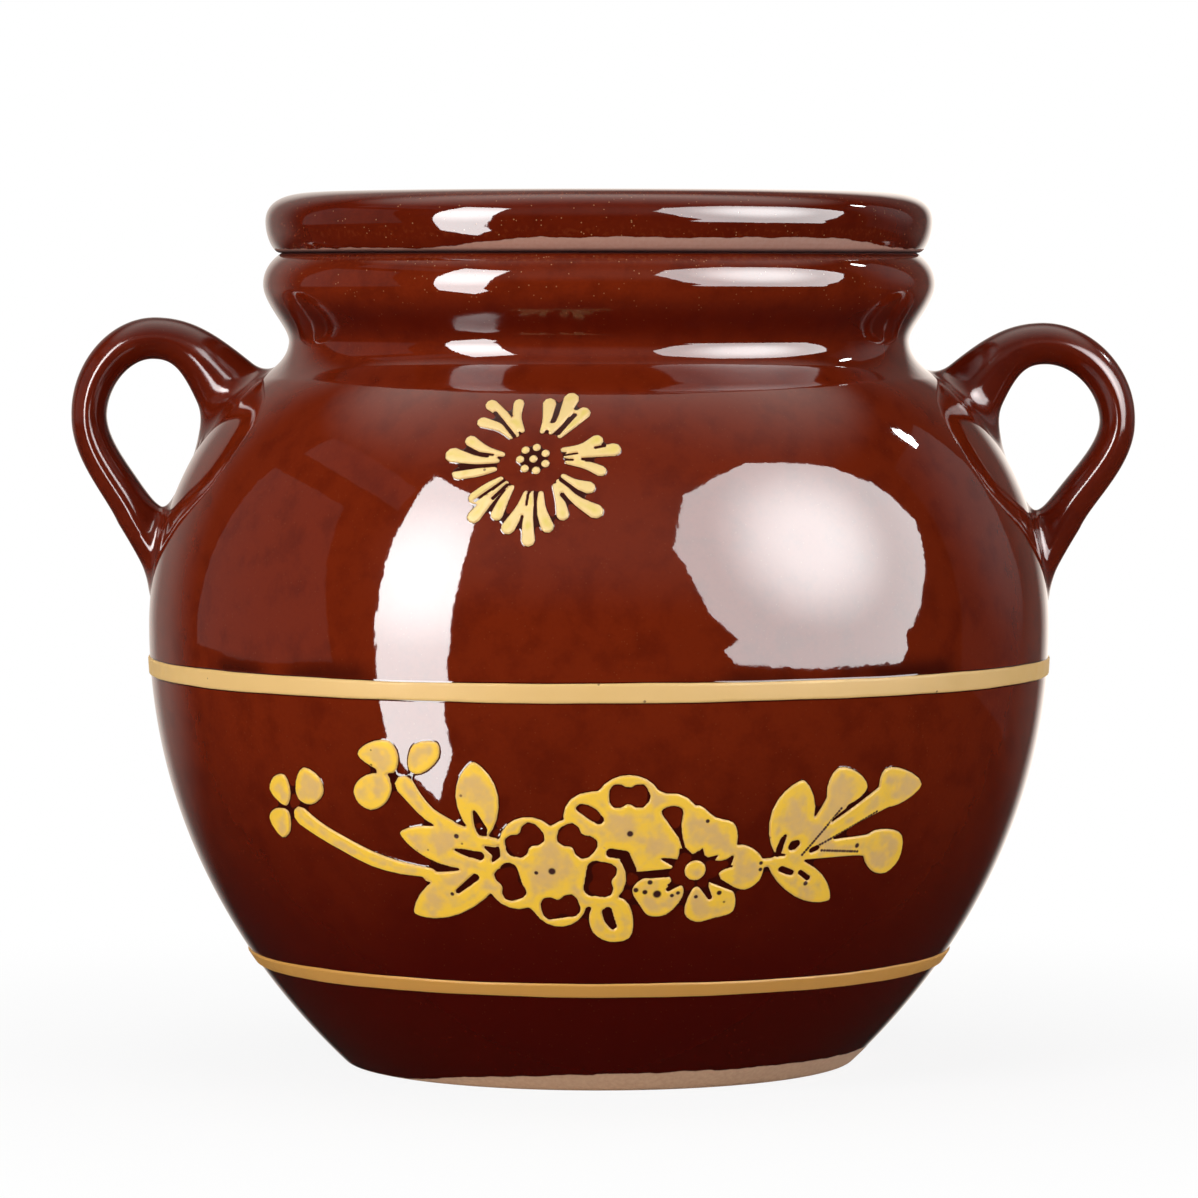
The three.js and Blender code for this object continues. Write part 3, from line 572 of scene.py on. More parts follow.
def slip_material(name, middle, margin_colour, edge_colour):
    """Cream slip: golden along its margins, duller in the middle, mottled, with dark pinholes."""
    colours = bpy.context.scene.jar_colours
    material, wire = start_material(name)
    place = wire.node("ShaderNodeTexCoord", output="Object")
    margin = wire.node("ShaderNodeAttribute", output="Fac", attribute_name="margin")
    pinhole = wire.node("ShaderNodeAttribute", output="Fac", attribute_name="pinhole")
    patch = smooth(grain(place, 190, 2), 0.3, 0.7)
    stain = grain(place, 480, 3)
    fine = grain(place, 1100, 3)
    inside = smooth(margin + 2.2 * (patch - 0.5) + 1.6 * (stain - 0.5), 0.4, 2.6)
    slip = mixed(inside * (0.7 + 0.6 * (stain - 0.25)), margin_colour, middle)
    slip = mixed(0.8 * (1 - smooth(margin, 0.12, 0.4)), slip, edge_colour)
    slip = mixed(0.2 * smooth(fine, 0.5, 0.75), slip, edge_colour)
    slip = mixed(0.7 * specks(place, 420, 0.16, 0.06), slip, colours.thick_glaze_and_shade)
    slip = mixed(smooth(pinhole, 0.3, 0.6), slip, colours.pooled_glaze_and_shade)
    relief = 0.6 * patch + 0.4 * fine - smooth(pinhole, 0.2, 0.8)
    bump = wire.node("ShaderNodeBump", {"Strength": 1, "Distance": 0.05 * MM, "Height": relief})
    shader = wire.node("ShaderNodeBsdfPrincipled", {
        "Base Color": slip,
        "Roughness": 0.42 + 0.16 * patch,
        "IOR": 1.33,
        "Normal": bump,
    })
    finish_material(wire, shader)
    return material


def finish_named(name, make, *values):
    """A finish by name, made when it is first asked for."""
    return bpy.data.materials.get(name) or make(name, *values)


def bead_glaze():
    return finish_named("bead_glaze", glaze_material, 0, 0)


def ear_glaze():
    return finish_named("ear_glaze", glaze_material, 0.35, 0.12)


def flower_slip():
    colours = bpy.context.scene.jar_colours
    shades = (colours.slip_tan, colours.slip_gold, colours.slip_edge)
    return finish_named("flower_slip", slip_material, *shades)


def rosette_slip():
    colours = bpy.context.scene.jar_colours
    shades = (colours.petal, colours.petal_margin, colours.petal_edge)
    return finish_named("rosette_slip", slip_material, *shades)


def band_slip(name):
    colours = bpy.context.scene.jar_colours
    shade = getattr(colours, name)
    return finish_named(name + "_slip", slip_material, shade, shade, shade)


# Pot and lid

# Hidden curves: round the inside of the floor, under the lid's top and along the edge of its flange
FLOOR_CURVE = 8 * MM
CEILING_CURVE = 3 * MM
FLANGE_ROUNDING = 1.6 * MM
INSIDE_RINGS = 48


class JAR_OT_pot(bpy.types.Operator):
    """Turn the pot, with its foot ring, belly, shoulder, neck, collar and hollow inside"""

    bl_idname = "jar.pot"
    bl_label = "Pot"

    def execute(self, context):
        pot = context.scene.jar_pot
        face = pot_face()
        ring_inner = pot.foot_radius - pot.foot_ring
        section = [
            Vector((0, pot.foot_recess)),
            Vector((ring_inner - pot.foot_recess, pot.foot_recess)),
            Vector((ring_inner, 0)),
            Vector((pot.foot_radius - pot.foot_rounding, 0)),
        ]
        worn = face.at_arc(pot.foot_rounding)
        section += bezier([section[-1], (pot.foot_radius, 0), worn], 4)
        section += [point for point, arc in zip(face.points, face.arcs) if arc > 1.5 * pot.foot_rounding]
        section += self.inside(pot, face)
        piece = turned("pot", section)
        clay_colour = context.scene.jar_colours.foot_clay
        finish = finish_named("pot_glaze", glaze_material, 0, 0, foot_clay, clay_colour)
        dress(piece, finish, "brown_glaze", "jar_body")
        return {"FINISHED"}

    def inside(self, pot, face):
        """From the rim over the lip and down the wall to the middle of the floor."""
        mouth = pot.neck_radius - pot.wall
        lip = (mouth + pot.lip_rounding, pot.rim_height)
        section = [Vector(lip)]
        section += bezier([lip, (mouth, pot.rim_height), (mouth, pot.rim_height - pot.lip_rounding)], 5)
        high = face.arc(pot.neck_height)
        low = face.arc(pot.floor)
        for ring in range(INSIDE_RINGS + 1):
            section.append(face.at_arc(between(high, low, ring / INSIDE_RINGS), -pot.wall))
        foot = section[-1]
        corner = (foot.x - (foot.y - pot.floor), pot.floor)
        floor_edge = (corner[0] - FLOOR_CURVE, pot.floor)
        section += bezier([foot, corner, floor_edge], 8)
        section.append(Vector((0, pot.floor)))
        return section


class JAR_OT_lid(bpy.types.Operator):
    """Turn the flat-topped lid, with its rounded edge and the flange that sits in the mouth"""

    bl_idname = "jar.lid"
    bl_label = "Lid"

    def execute(self, context):
        lid = context.scene.jar_lid
        seat = (lid.seat_radius, lid.seat_height)
        widest = (lid.radius, lid.seat_height + lid.widest_rise)
        edge = (lid.radius - lid.edge_width, lid.seat_height + lid.edge_rise)
        flange_inner = lid.flange_radius - lid.flange_wall
        ceiling = edge[1] - lid.thickness
        crown = lid.top - lid.thickness
        section = [
            Vector((0, crown)),
            Vector((0.6 * flange_inner, between(crown, ceiling, 0.4))),
        ]
        turn_down = (flange_inner, ceiling - CEILING_CURVE)
        section += bezier([section[-1], (flange_inner, ceiling), turn_down], 6)
        section += self.flange(lid, flange_inner)
        section += bezier([
            seat,
            (between(lid.seat_radius, lid.radius, 0.56), seat[1]),
            (lid.radius, between(widest[1], seat[1], 0.43)),
            widest,
        ], 12)
        section += bezier([
            widest,
            (lid.radius, between(widest[1], edge[1], 0.64)),
            (between(edge[0], lid.radius, 0.71), edge[1]),
            edge,
        ], 18)
        section += bezier([
            edge,
            (0.8 * edge[0], between(edge[1], lid.top, 0.3)),
            (0.45 * edge[0], lid.top),
            (0, lid.top),
        ], 20)
        piece = turned("lid_piece", section)
        clay_colour = context.scene.jar_colours.lid_clay
        finish = finish_named("lid_glaze", glaze_material, 0.5, 0, lid_clay, clay_colour)
        dress(piece, finish, "brown_glaze", "lid", body="lid")
        return {"FINISHED"}

    def flange(self, lid, inner):
        """Round the flange's lower edge and out along the seat."""
        outer = lid.flange_radius
        bottom = lid.flange_bottom
        rounding = FLANGE_ROUNDING
        points = [Vector((inner, bottom + rounding))]
        points += bezier([points[-1], (inner, bottom), (inner + rounding, bottom)], 4)
        points.append(Vector((outer - rounding, bottom)))
        points += bezier([points[-1], (outer, bottom), (outer, bottom + rounding)], 4)
        points.append(Vector((outer, lid.seat_height)))
        points.append(Vector((lid.seat_radius, lid.seat_height)))
        return points


# Ear handles

# Thickness and width of the strap where its four curves meet, and how much its sides narrow to a ridge
STRAP_STATIONS = [(19, 17), (9.3, 14), (7.9, 14), (9, 14), (5, 11)]
STRAP_RIDGE = 1.4

# The plate of wall that each handle is modelled into: thickness, width in radians, how far it goes below
# the tail, depth under the glaze, and steps along each side
PLATE_THICKNESS = 2.4 * MM
PLATE_TURN = 0.6
PLATE_BELOW = 8 * MM
PLATE_COVER = 0.12 * MM
PLATE_STEPS = 60

# Blending the roots: steps for a place at most, when it is near enough, and the height in which the fillet
# changes from the outer to the inner one
BLEND_STEPS = 10
BLEND_NEAR = 0.001 * MM
FILLET_CHANGE = 16 * MM

# Rounds of evening and blending a handle, and the passes of smoothing in each and after the last
MODEL_ROUNDS = 2
ROUND_SMOOTHING = 2
LAST_SMOOTHING = 4


def strap_spine(handle, reach, face):
    """Corners of the four curves along the middle of the strap, as (radius, height)."""
    root = face.at_height(handle.upper_root, -handle.root_sink)
    apex = Vector((handle.apex_reach, handle.top - STRAP_STATIONS[1][0] * MM / 2))
    widest = Vector((reach - STRAP_STATIONS[2][0] * MM / 2, handle.widest_height))
    lower = face.at_height(handle.lower_root, handle.standoff)
    tail = face.at_height(handle.tail, -STRAP_STATIONS[4][0] * MM / 2)
    rise = Vector((0.61, 0.79))
    lean = Vector((0.42, 0.9))
    climb = apex.y - root.y
    drop = widest.y - lower.y
    return [
        [root, root + 0.8 * climb * rise, Vector((between(apex.x, root.x, 0.42), apex.y)), apex],
        [apex, Vector((between(apex.x, widest.x, 0.53), apex.y)),
         Vector((widest.x, between(widest.y, apex.y, 0.53))), widest],
        [widest, Vector((widest.x, between(widest.y, lower.y, 0.38))), lower + 0.33 * drop * lean, lower],
        [lower, lower - 0.28 * drop * lean, tail + drop * Vector((0.07, 0.25)), tail],
    ]


def strap_rings(handle, reach, face):
    """Centre, heading, thickness and width of each ring of the strap."""
    rings = []
    per_curve = STRAP_RINGS // 4
    for index, corners in enumerate(strap_spine(handle, reach, face)):
        points = [corners[0]] + bezier(corners, per_curve)
        for step in range(per_curve + (index == 3)):
            share = step / per_curve
            ease = 1 - (1 - share) ** 2 if index == 0 else share
            thickness, width = (
                between(first, last, ease) * MM
                for first, last in zip(STRAP_STATIONS[index], STRAP_STATIONS[index + 1])
            )
            along = points[min(step + 1, per_curve)] - points[max(step - 1, 0)]
            rings.append((points[step], along.normalized(), thickness, width))
    return rings


def rolled_strap(name, side, reach, drop, face):
    """Rolls a grid into a closed strap along its spine."""
    rings = strap_rings(bpy.context.scene.jar_handles, reach, face)
    last = len(rings) - 1
    deselect()
    bpy.ops.mesh.primitive_grid_add(
        x_subdivisions=last, y_subdivisions=STRAP_SIDES, size=1, location=(0, 0, 0)
    )
    strap = bpy.context.object
    strap.name = name
    for vertex in strap.data.vertices:
        centre, along, thickness, width = rings[round((vertex.co.x + 0.5) * last)]
        turn = (vertex.co.y + 0.5) * math.tau
        out = math.copysign(abs(math.cos(turn)) ** STRAP_RIDGE, math.cos(turn)) * thickness / 2
        vertex.co = (
            side * (centre.x - along.y * out),
            math.sin(turn) * width / 2,
            centre.y + along.x * out - drop,
        )
    bpy.ops.object.mode_set(mode="EDIT")
    bpy.ops.mesh.select_all(action="SELECT")
    bpy.ops.mesh.remove_doubles(threshold=SAME_PLACE)
    bpy.ops.mesh.fill_holes(sides=0)
    bpy.ops.mesh.select_all(action="SELECT")
    bpy.ops.mesh.normals_make_consistent(inside=False)
    bpy.ops.object.mode_set(mode="OBJECT")
    return strap


def wall_plate(side, face):
    """A piece of the pot's wall behind a handle, closed all round."""
    handle = bpy.context.scene.jar_handles
    low = face.arc(handle.tail - PLATE_BELOW)
    high = face.arc(bpy.context.scene.jar_pot.neck_height)
    deselect()
    bpy.ops.mesh.primitive_grid_add(
        x_subdivisions=PLATE_STEPS, y_subdivisions=PLATE_STEPS, size=1, location=(0, 0, 0)
    )
    plate = bpy.context.object
    for vertex in plate.data.vertices:
        turn = vertex.co.x * PLATE_TURN
        spot = face.at_arc(between(low, high, vertex.co.y + 0.5), -PLATE_THICKNESS / 2)
        vertex.co = (side * spot.x * math.cos(turn), spot.x * math.sin(turn), spot.y)
    apply_modifier(plate, "SOLIDIFY", thickness=PLATE_THICKNESS, offset=0)
    return plate


def make_handle(name, side, reach, drop):
    """Joins a strap to a plate of the wall and models hollow curves where they meet."""
    handle = bpy.context.scene.jar_handles
    face = pot_face()
    strap = rolled_strap(name, side, reach, drop, face)
    strap_skin = BVHTree.FromObject(strap, bpy.context.evaluated_depsgraph_get())
    plate = wall_plate(side, face)
    plate.select_set(True)
    strap.select_set(True)
    bpy.context.view_layer.objects.active = strap
    bpy.ops.object.join()
    for _ in range(MODEL_ROUNDS):
        evened(strap, handle.grain, ROUND_SMOOTHING)
        for vertex in strap.data.vertices:
            vertex.co = modelled_in(vertex.co.copy(), strap_skin, face)
    apply_modifier(strap, "SMOOTH", factor=0.5, iterations=LAST_SMOOTHING)
    return strap


def root_fillet(place):
    """How far the clay is smoothed in by a place: further on the finger side of each root."""
    handle = bpy.context.scene.jar_handles
    halfway = (handle.upper_root + handle.lower_root) / 2
    inward = handle.upper_root - place.z if place.z > halfway else place.z - handle.lower_root
    share = min(max(0.5 + inward / FILLET_CHANGE, 0), 1)
    return between(handle.outer_fillet, handle.inner_fillet, share)


def modelled_in(place, strap_skin, face):
    """Moves a place to the skin that blends the strap into the wall. Places inside the wall stay."""
    fillet = root_fillet(place)
    wall_lift, wall_way = face.nearest(place)
    if wall_lift < -0.3 * PLATE_THICKNESS:
        return place
    for _ in range(BLEND_STEPS):
        nearest, normal, _, away = strap_skin.find_nearest(place)
        strap_lift = math.copysign(away, (place - nearest).dot(normal))
        share = min(max(0.5 + (wall_lift - strap_lift) / (2 * fillet), 0), 1)
        blend = between(wall_lift, strap_lift, share) - fillet * share * (1 - share)
        if abs(blend) < BLEND_NEAR:
            break
        way = wall_way.lerp(normal, share)
        step = blend / max(way.length_squared, 0.12)
        place -= min(max(step, -MM), MM) * way
        wall_lift, wall_way = face.nearest(place)
    return place - PLATE_COVER * min(max(1 - wall_lift / (2 * MM), 0), 1) * wall_way


class JAR_OT_handles(bpy.types.Operator):
    """Pull the two ear handles and smooth their roots into the pot"""

    bl_idname = "jar.handles"
    bl_label = "Ear handles"

    def execute(self, context):
        handle = context.scene.jar_handles
        left = make_handle("left_ear", -1, handle.left_reach, 0)
        right = make_handle("right_ear", 1, handle.right_reach, handle.right_drop)
        dress(left, ear_glaze(), "brown_glaze", "left_handle")
        dress(right, ear_glaze(), "brown_glaze", "right_handle")
        return {"FINISHED"}


# Slip bands

# How far the edges of the slip and of the glaze bead dip under the pot's face
SLIP_DIP = 0.1 * MM
BEAD_DIP = 0.06 * MM
BAND_RIBS = 14


def wobble(turn, phase):
    """Unevenness of a hand-drawn edge, from -1 to 1, round the pot."""
    waves = ((3, 0.4, 0.3), (7, 0.3, 1.1), (17, 0.2, 2.3), (41, 0.1, 0.7))
    return sum(height * math.sin(count * turn + phase * start + start) for count, height, start in waves)


def make_band(name, low, high, margin, rise, sink, hollow):
    """A ring on the pot between two arcs, widened by a margin, domed or hollow at its edges."""
    slip = bpy.context.scene.jar_slip
    face = pot_face()
    middle = (low + high) / 2
    half = (high - low) / 2 + margin
    edge = slip.bead_width if hollow else slip.rounding
    shares = [math.sin(math.pi / 2 * between(-1, 1, rib / BAND_RIBS)) for rib in range(BAND_RIBS + 1)]
    section = [face.at_arc(middle + half * share) for share in shares]
    section.append(face.at_arc(middle + half, -slip.depth))
    section.append(face.at_arc(middle - half, -slip.depth))
    section.append(section[0].copy())
    piece = turned(name, section)
    margins = []
    for vertex in piece.data.vertices:
        lift = face.lift(vertex.co)
        share = (face.arc(vertex.co.z) - middle) / half
        turn = math.atan2(vertex.co.x, -vertex.co.y)
        inside = half * (1 - abs(share))
        reach = min(max(inside / edge, 0), 1)
        curve = reach**2 if hollow else math.sqrt(1 - (1 - reach) ** 2)
        shift = slip.band_wobble * wobble(turn, 1 + math.copysign(1, share) + middle / MM) * abs(share)
        if lift > -0.5 * slip.depth:
            lift = between(-sink, rise, curve)
        place = face.at_arc(middle + half * share + shift, lift)
        vertex.co = (place.x * math.sin(turn), -place.x * math.cos(turn), place.y)
        margins.append(inside)
    return piece, margins, edge


class JAR_OT_bands(bpy.types.Operator):
    """Draw the two slip bands round the pot, with the glaze drawn up along their edges"""

    bl_idname = "jar.bands"
    bl_label = "Slip bands"

    def execute(self, context):
        slip = context.scene.jar_slip
        face = pot_face()
        for name in ("upper_band", "lower_band"):
            box_low, box_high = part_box(name)
            low, high = face.arc(box_low.z), face.arc(box_high.z)
            band, margins, _ = make_band(name + "_slip", low, high, 0, slip.rise, SLIP_DIP, False)
            keep_values(band, "margin", [value / MM for value in margins])
            dress(band, band_slip(name), "cream_slip", name)
            bead, margins, edge = make_band(
                name + "_bead", low, high, slip.bead_width, slip.bead_rise, BEAD_DIP, True
            )
            keep_values(bead, "pooling", [min(value / edge, 1) for value in margins])
            dress(bead, bead_glaze(), "brown_glaze")
        return {"FINISHED"}


# Slip flowers

# Corners of the frame's solids above this lift are on their upper side
UPPER_LIFT = 0.55 * MM

# Lifts as shares of the depth: the underside ends, the wall starts and ends, and the upper side starts
UNDER_END, WALL_START, WALL_END, UPPER_START = -0.9, -0.8, -0.3, -0.2

# Passes of smoothing for the slip and for the glaze bead
SLIP_SMOOTHING = 5
BEAD_SMOOTHING = 4

# Share of the faces that stay when a hidden underside is thinned, and how far off an opening is still felt
KEPT_FACES = 0.6
OPENING_REACH = 2 * MM


def gathered(name, nodes):
    """One mesh from copies of several nodes, each one's corners merged."""
    deselect()
    for node in nodes:
        copy = bpy.data.objects.new(name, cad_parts[node].data.copy())
        bpy.context.scene.collection.objects.link(copy)
        copy.select_set(True)
        bpy.context.view_layer.objects.active = copy
    bpy.ops.object.join()
    piece = bpy.context.object
    piece.name = name
    bpy.ops.object.mode_set(mode="EDIT")
    bpy.ops.mesh.select_all(action="SELECT")
    bpy.ops.mesh.remove_doubles(threshold=SAME_PLACE)
    bpy.ops.object.mode_set(mode="OBJECT")
    return piece


def shells(mesh):
    """The vertices of each separate shell of a mesh."""
    links = [[] for _ in mesh.vertices]
    for edge in mesh.edges:
        first, last = edge.vertices
        links[first].append(last)
        links[last].append(first)
    seen = set()
    for start in range(len(links)):
        if start in seen:
            continue
        seen.add(start)
        shell = [start]
        for index in shell:
            fresh = [other for other in links[index] if other not in seen]
            seen.update(fresh)
            shell += fresh
        yield shell


def drop_crumbs(piece):
    """Deletes the specks that remeshing leaves apart from the piece's own shells."""
    crumbs = [index for shell in shells(piece.data) if len(shell) < CRUMB_VERTICES for index in shell]
    if not crumbs:
        return
    bpy.ops.object.mode_set(mode="EDIT")
    bpy.ops.mesh.select_mode(type="VERT")
    bpy.ops.mesh.select_all(action="DESELECT")
    bpy.ops.object.mode_set(mode="OBJECT")
    for index in crumbs:
        piece.data.vertices[index].select = True
    bpy.ops.object.mode_set(mode="EDIT")
    bpy.ops.mesh.delete(type="VERT")
    bpy.ops.object.mode_set(mode="OBJECT")


def evened(piece, size, smoothing):
    """Gives a piece even small faces and rounds off its corners."""
    apply_modifier(piece, "REMESH", mode="VOXEL", voxel_size=size, use_smooth_shade=True)
    drop_crumbs(piece)
    apply_modifier(piece, "SMOOTH", factor=0.5, iterations=smoothing)


def thin_underside(piece, face, depth):
    """Merges most of the small faces on the hidden underside of a piece."""
    under = [vertex.index for vertex in piece.data.vertices if face.lift(vertex.co) < UNDER_END * depth]
    group = piece.vertex_groups.new(name="underside")
    group.add(under, 1, "REPLACE")
    apply_modifier(piece, "DECIMATE", ratio=KEPT_FACES, vertex_group=group.name)
    piece.vertex_groups.clear()


def outline_margins(piece, face, depth):
    """How far each vertex lies from the piece's outline, along the pot."""
    lifts = [face.lift(vertex.co) for vertex in piece.data.vertices]
    spots = [face.settle(vertex.co, 0) for vertex in piece.data.vertices]
    wall = [spot for spot, lift in zip(spots, lifts) if WALL_START * depth < lift < WALL_END * depth]
    tree = KDTree(len(wall))
    for index, spot in enumerate(wall):
        tree.insert(spot, index)
    tree.balance()
    return lifts, spots, [tree.find(spot)[2] for spot in spots]


def lay_on_pot(piece, depth, edge, openings, curve):
    """Sets the lift of a piece's upper side from the distance to its outline and openings."""
    face = pot_face()
    lifts, spots, margins = outline_margins(piece, face, depth)
    for index, vertex in enumerate(piece.data.vertices):
        if lifts[index] > UPPER_START * depth:
            gaps = [opening.distance(spots[index]) for opening in openings]
            margins[index] = min([margins[index]] + gaps)
            vertex.co = face.settle(spots[index], curve(min(max(margins[index] / edge, 0), 1)))
    return margins


def add_joins(flowers, joins):
    """Runs of small balls of slip that join some of the flowers' pieces."""
    balls = []
    for first, last, radius in joins:
        count = math.ceil((last - first).length / (0.4 * radius))
        for step in range(count + 1):
            place = first.lerp(last, step / count)
            bpy.ops.mesh.primitive_uv_sphere_add(segments=16, ring_count=8, radius=radius, location=place)
            balls.append(bpy.context.object)
    deselect()
    for ball in balls:
        ball.select_set(True)
    flowers.select_set(True)
    bpy.context.view_layer.objects.active = flowers
    bpy.ops.object.join()


def make_flowers(name, nodes, size, bead_width, finish, openings=(), pinholes=(), joins=()):
    """Slip flowers from the frame's solids, and the glaze drawn up round them."""
    slip = bpy.context.scene.jar_slip
    face = pot_face()
    flowers = gathered(name + "_slip", nodes)
    for vertex in flowers.data.vertices:
        upper = face.lift(vertex.co) > UPPER_LIFT
        vertex.co = face.settle(vertex.co, slip.rise if upper else -slip.depth)
    if joins:
        add_joins(flowers, joins)
    evened(flowers, size, SLIP_SMOOTHING)
    thin_underside(flowers, face, slip.depth)

    bead = flowers.copy()
    bead.data = flowers.data.copy()
    bead.name = name + "_bead"
    bpy.context.scene.collection.objects.link(bead)
    apply_modifier(bead, "DISPLACE", strength=bead_width, mid_level=0, direction="NORMAL")
    evened(bead, slip.bead_grain, BEAD_SMOOTHING)
    thin_underside(bead, face, slip.depth)

    margins = lay_on_pot(
        flowers, slip.depth, slip.rounding, openings,
        lambda share: between(-SLIP_DIP, slip.rise, math.sqrt(1 - (1 - share) ** 2)),
    )
    keep_values(flowers, "margin", [margin / MM for margin in margins])
    depths = [pinhole_depth(vertex.co, pinholes) for vertex in flowers.data.vertices]
    keep_values(flowers, "pinhole", depths)
    dress(flowers, finish, "cream_slip", *nodes)

    margins = lay_on_pot(
        bead, slip.depth, bead_width, [],
        lambda share: between(-BEAD_DIP, slip.bead_rise, share**2),
    )
    keep_values(bead, "pooling", [min(margin / bead_width, 1) for margin in margins])
    dress(bead, bead_glaze(), "brown_glaze")


class Opening:
    """A slot with round ends in the slip, from one spot of the pot to another."""

    def __init__(self, first, last):
        self.start, self.start_width = first
        self.along = last[0] - self.start
        self.end_width = last[1]
        self.reach = self.along.length + max(self.start_width, self.end_width) + OPENING_REACH

    def distance(self, place):
        """How far a place lies outside the slot, up to the reach of an opening."""
        step = place - self.start
        if step.length > self.reach:
            return OPENING_REACH
        share = min(max(step.dot(self.along) / self.along.length_squared, 0), 1)
        return (step - share * self.along).length - between(self.start_width, self.end_width, share)


def pot_spot(face, height, x, y, lift=0.0):
    """A place on the pot, in millimetres along and up it from its front at a height."""
    point = face.at_arc(face.arc(height) + y * MM, lift)
    turn = x * MM / face.at_height(height).x
    return Vector((point.x * math.sin(turn), -point.x * math.cos(turn), point.y))


def spoke(middle, bearing, distance):
    """A spot at a bearing in degrees and a distance from a flower's middle."""
    turn = math.radians(bearing)
    return middle[0] + distance * math.cos(turn), middle[1] + distance * math.sin(turn)


def flower_openings(face, height, slots):
    """Slots given by their two ends: along the pot, up it and half the width, in millimetres."""
    openings = []
    for slot in slots:
        ends = [(pot_spot(face, height, x, y), width * MM) for x, y, width in slot]
        openings.append(Opening(*ends))
    return openings


def pinhole_depth(place, pinholes):
    """1 in the middle of a pinhole and 0 outside all of them."""
    deepest = 0.0
    for centre, radius in pinholes:
        if abs(place.z - centre.z) < 2 * radius:
            deepest = max(deepest, 1 - (place - centre).length / (2 * radius))
    return deepest


# The spray's places are in millimetres along and up the belly from its front at this height
SPRAY_HEIGHT = 57 * MM

# The open petals round the left blossom's middle: bearings, distance, half the angle and half the width
LEFT_BLOSSOM = (-10, -7)
OPEN_PETALS = (55, 131, 193, 280, 351)
PETAL_DISTANCE = 9.4
PETAL_SPREAD = 14
PETAL_WIDTH = 1.9

# The star round the right blossom's eye: bearing and reach of each spike, and half the width of its tip
STAR = (20.8, -6.8)
STAR_RADIUS = 3.5
STAR_WIDTH = 1
STAR_SPIKES = [
    (159, 8, 0.2), (118, 6, 0.2), (78, 5, 0.2), (37, 5.5, 0.2), (6, 8, 0.2),
    (-27, 10.5, 0.4), (-59, 7.5, 0.5), (217, 7, 0.5), (184, 13.5, 0.8),
]

# Other slots: beside the middle blossom, and in the leaves. Two ends, each along, up and half-width
SPRAY_SLOTS = [
    ((4, 10.5, 1.8), (8.5, 10, 1.9)), ((-3.5, 7.5, 1), (0, 5, 1)), ((15, 6, 1.7), (17, 1, 0.4)),
    ((17, 1, 0.4), (18, -2, 0.3)), ((2.5, -2.5, 1), (5.5, -3, 1)), ((5.5, -3, 1), (7, -6.5, 1)),
    ((2, -16, 0.8), (3.5, -20, 0.5)), ((-25.5, 6, 0.4), (-24.5, 2.5, 1.2)),
    ((-30, -2.5, 0.3), (-25.5, -3.5, 1)), ((-31.5, -12, 0.5), (-27, -8.5, 0.8)),
    ((40, 0.5, 0.4), (39, -3.5, 0.7)), ((42, -2, 0.8), (43, -1.3, 0.8)),
    ((47, -3, 0.6), (48.2, -2.5, 0.6)), ((40.5, -7, 0.6), (43, -8, 0.6)),
    ((45.2, -8, 0.5), (47.4, -9.5, 0.6)),
]

# Joins between stems, leaves and buds: two ends, each along and up, and the radius
SPRAY_JOINS = [
    ((-38, -8.8), (-32, -8.3), 1.1), ((-30, 2.5), (-26.5, 1), 1.3), ((-29, 0.5), (-25.5, -1.3), 1.2),
    ((-26.5, 0.3), (-22, -0.3), 1.1), ((-28, -6.2), (-25, -5.8), 1), ((-44.3, 13), (-45.7, 15), 0.8),
    ((34, -5.5), (38, -5.3), 1),
]

# Pinholes: along, up and radius. Cracks along the buds' stems: two ends and the number of dashes
SPRAY_PINHOLES = [
    (8, -11, 0.5), (10, -11.5, 0.5), (11, -9.2, 0.5), (12.7, -12, 0.8), (16, -12.4, 0.4),
    (17.3, -11.8, 0.4), (6.4, 2, 0.6), (-10, -6.6, 0.7), (-13.4, -7, 0.4), (21.4, -12.8, 0.4),
    (26.6, -12, 0.5), (35.2, -5.3, 0.4), (35.3, -6.8, 0.4), (47, -10.6, 0.5), (-30, 1, 0.5),
    (-32.8, -12.5, 0.4), (22.4, 4.6, 0.4), (58.3, -2.4, 0.5),
]
STEM_CRACKS = [((44.5, -4, 52.5, 6.5), 7), ((47, -2.5, 62, 5.2), 8), ((49, -3, 59, -3.8), 5)]
CRACK_RADIUS = 0.3
DASH_DOTS = (-0.35, 0, 0.35)

# The rosette's middle along and up the shoulder, and the gaps between its petals: bearing, two distances
# and half the width
ROSETTE_HEIGHT = 137 * MM
ROSETTE_MIDDLE = (-13.4, -0.9)
ROSETTE_GAPS = [
    (-1, 10.8, 14.7, 0.25), (13, 13, 15, 0.3), (10, 6, 9, 0.2), (0, 6, 8, 0.2), (-39, 7.4, 13.6, 0.4),
    (-53, 10, 13.5, 0.4), (-95, 7.6, 10.3, 0.25), (-85, 7.5, 12, 0.3), (-97, 13, 14.6, 0.3),
    (220, 7.3, 14.8, 0.3), (229, 7.8, 11.8, 0.35), (173, 9, 14, 0.25), (189, 7.5, 18, 0.35),
    (131, 7.5, 15.7, 0.4), (55, 8, 13.8, 0.5),
]


def spray_openings(face):
    """The open petals, the star and the slots of the spray."""
    slots = list(SPRAY_SLOTS)
    for bearing in OPEN_PETALS:
        lobes = (bearing - PETAL_SPREAD, bearing + PETAL_SPREAD)
        slots.append([(*spoke(LEFT_BLOSSOM, lobe, PETAL_DISTANCE), PETAL_WIDTH) for lobe in lobes])
    for bearing, reach, tip in STAR_SPIKES:
        ends = ((STAR_RADIUS, STAR_WIDTH), (reach, tip))
        slots.append([(*spoke(STAR, bearing, distance), width) for distance, width in ends])
    return flower_openings(face, SPRAY_HEIGHT, slots)


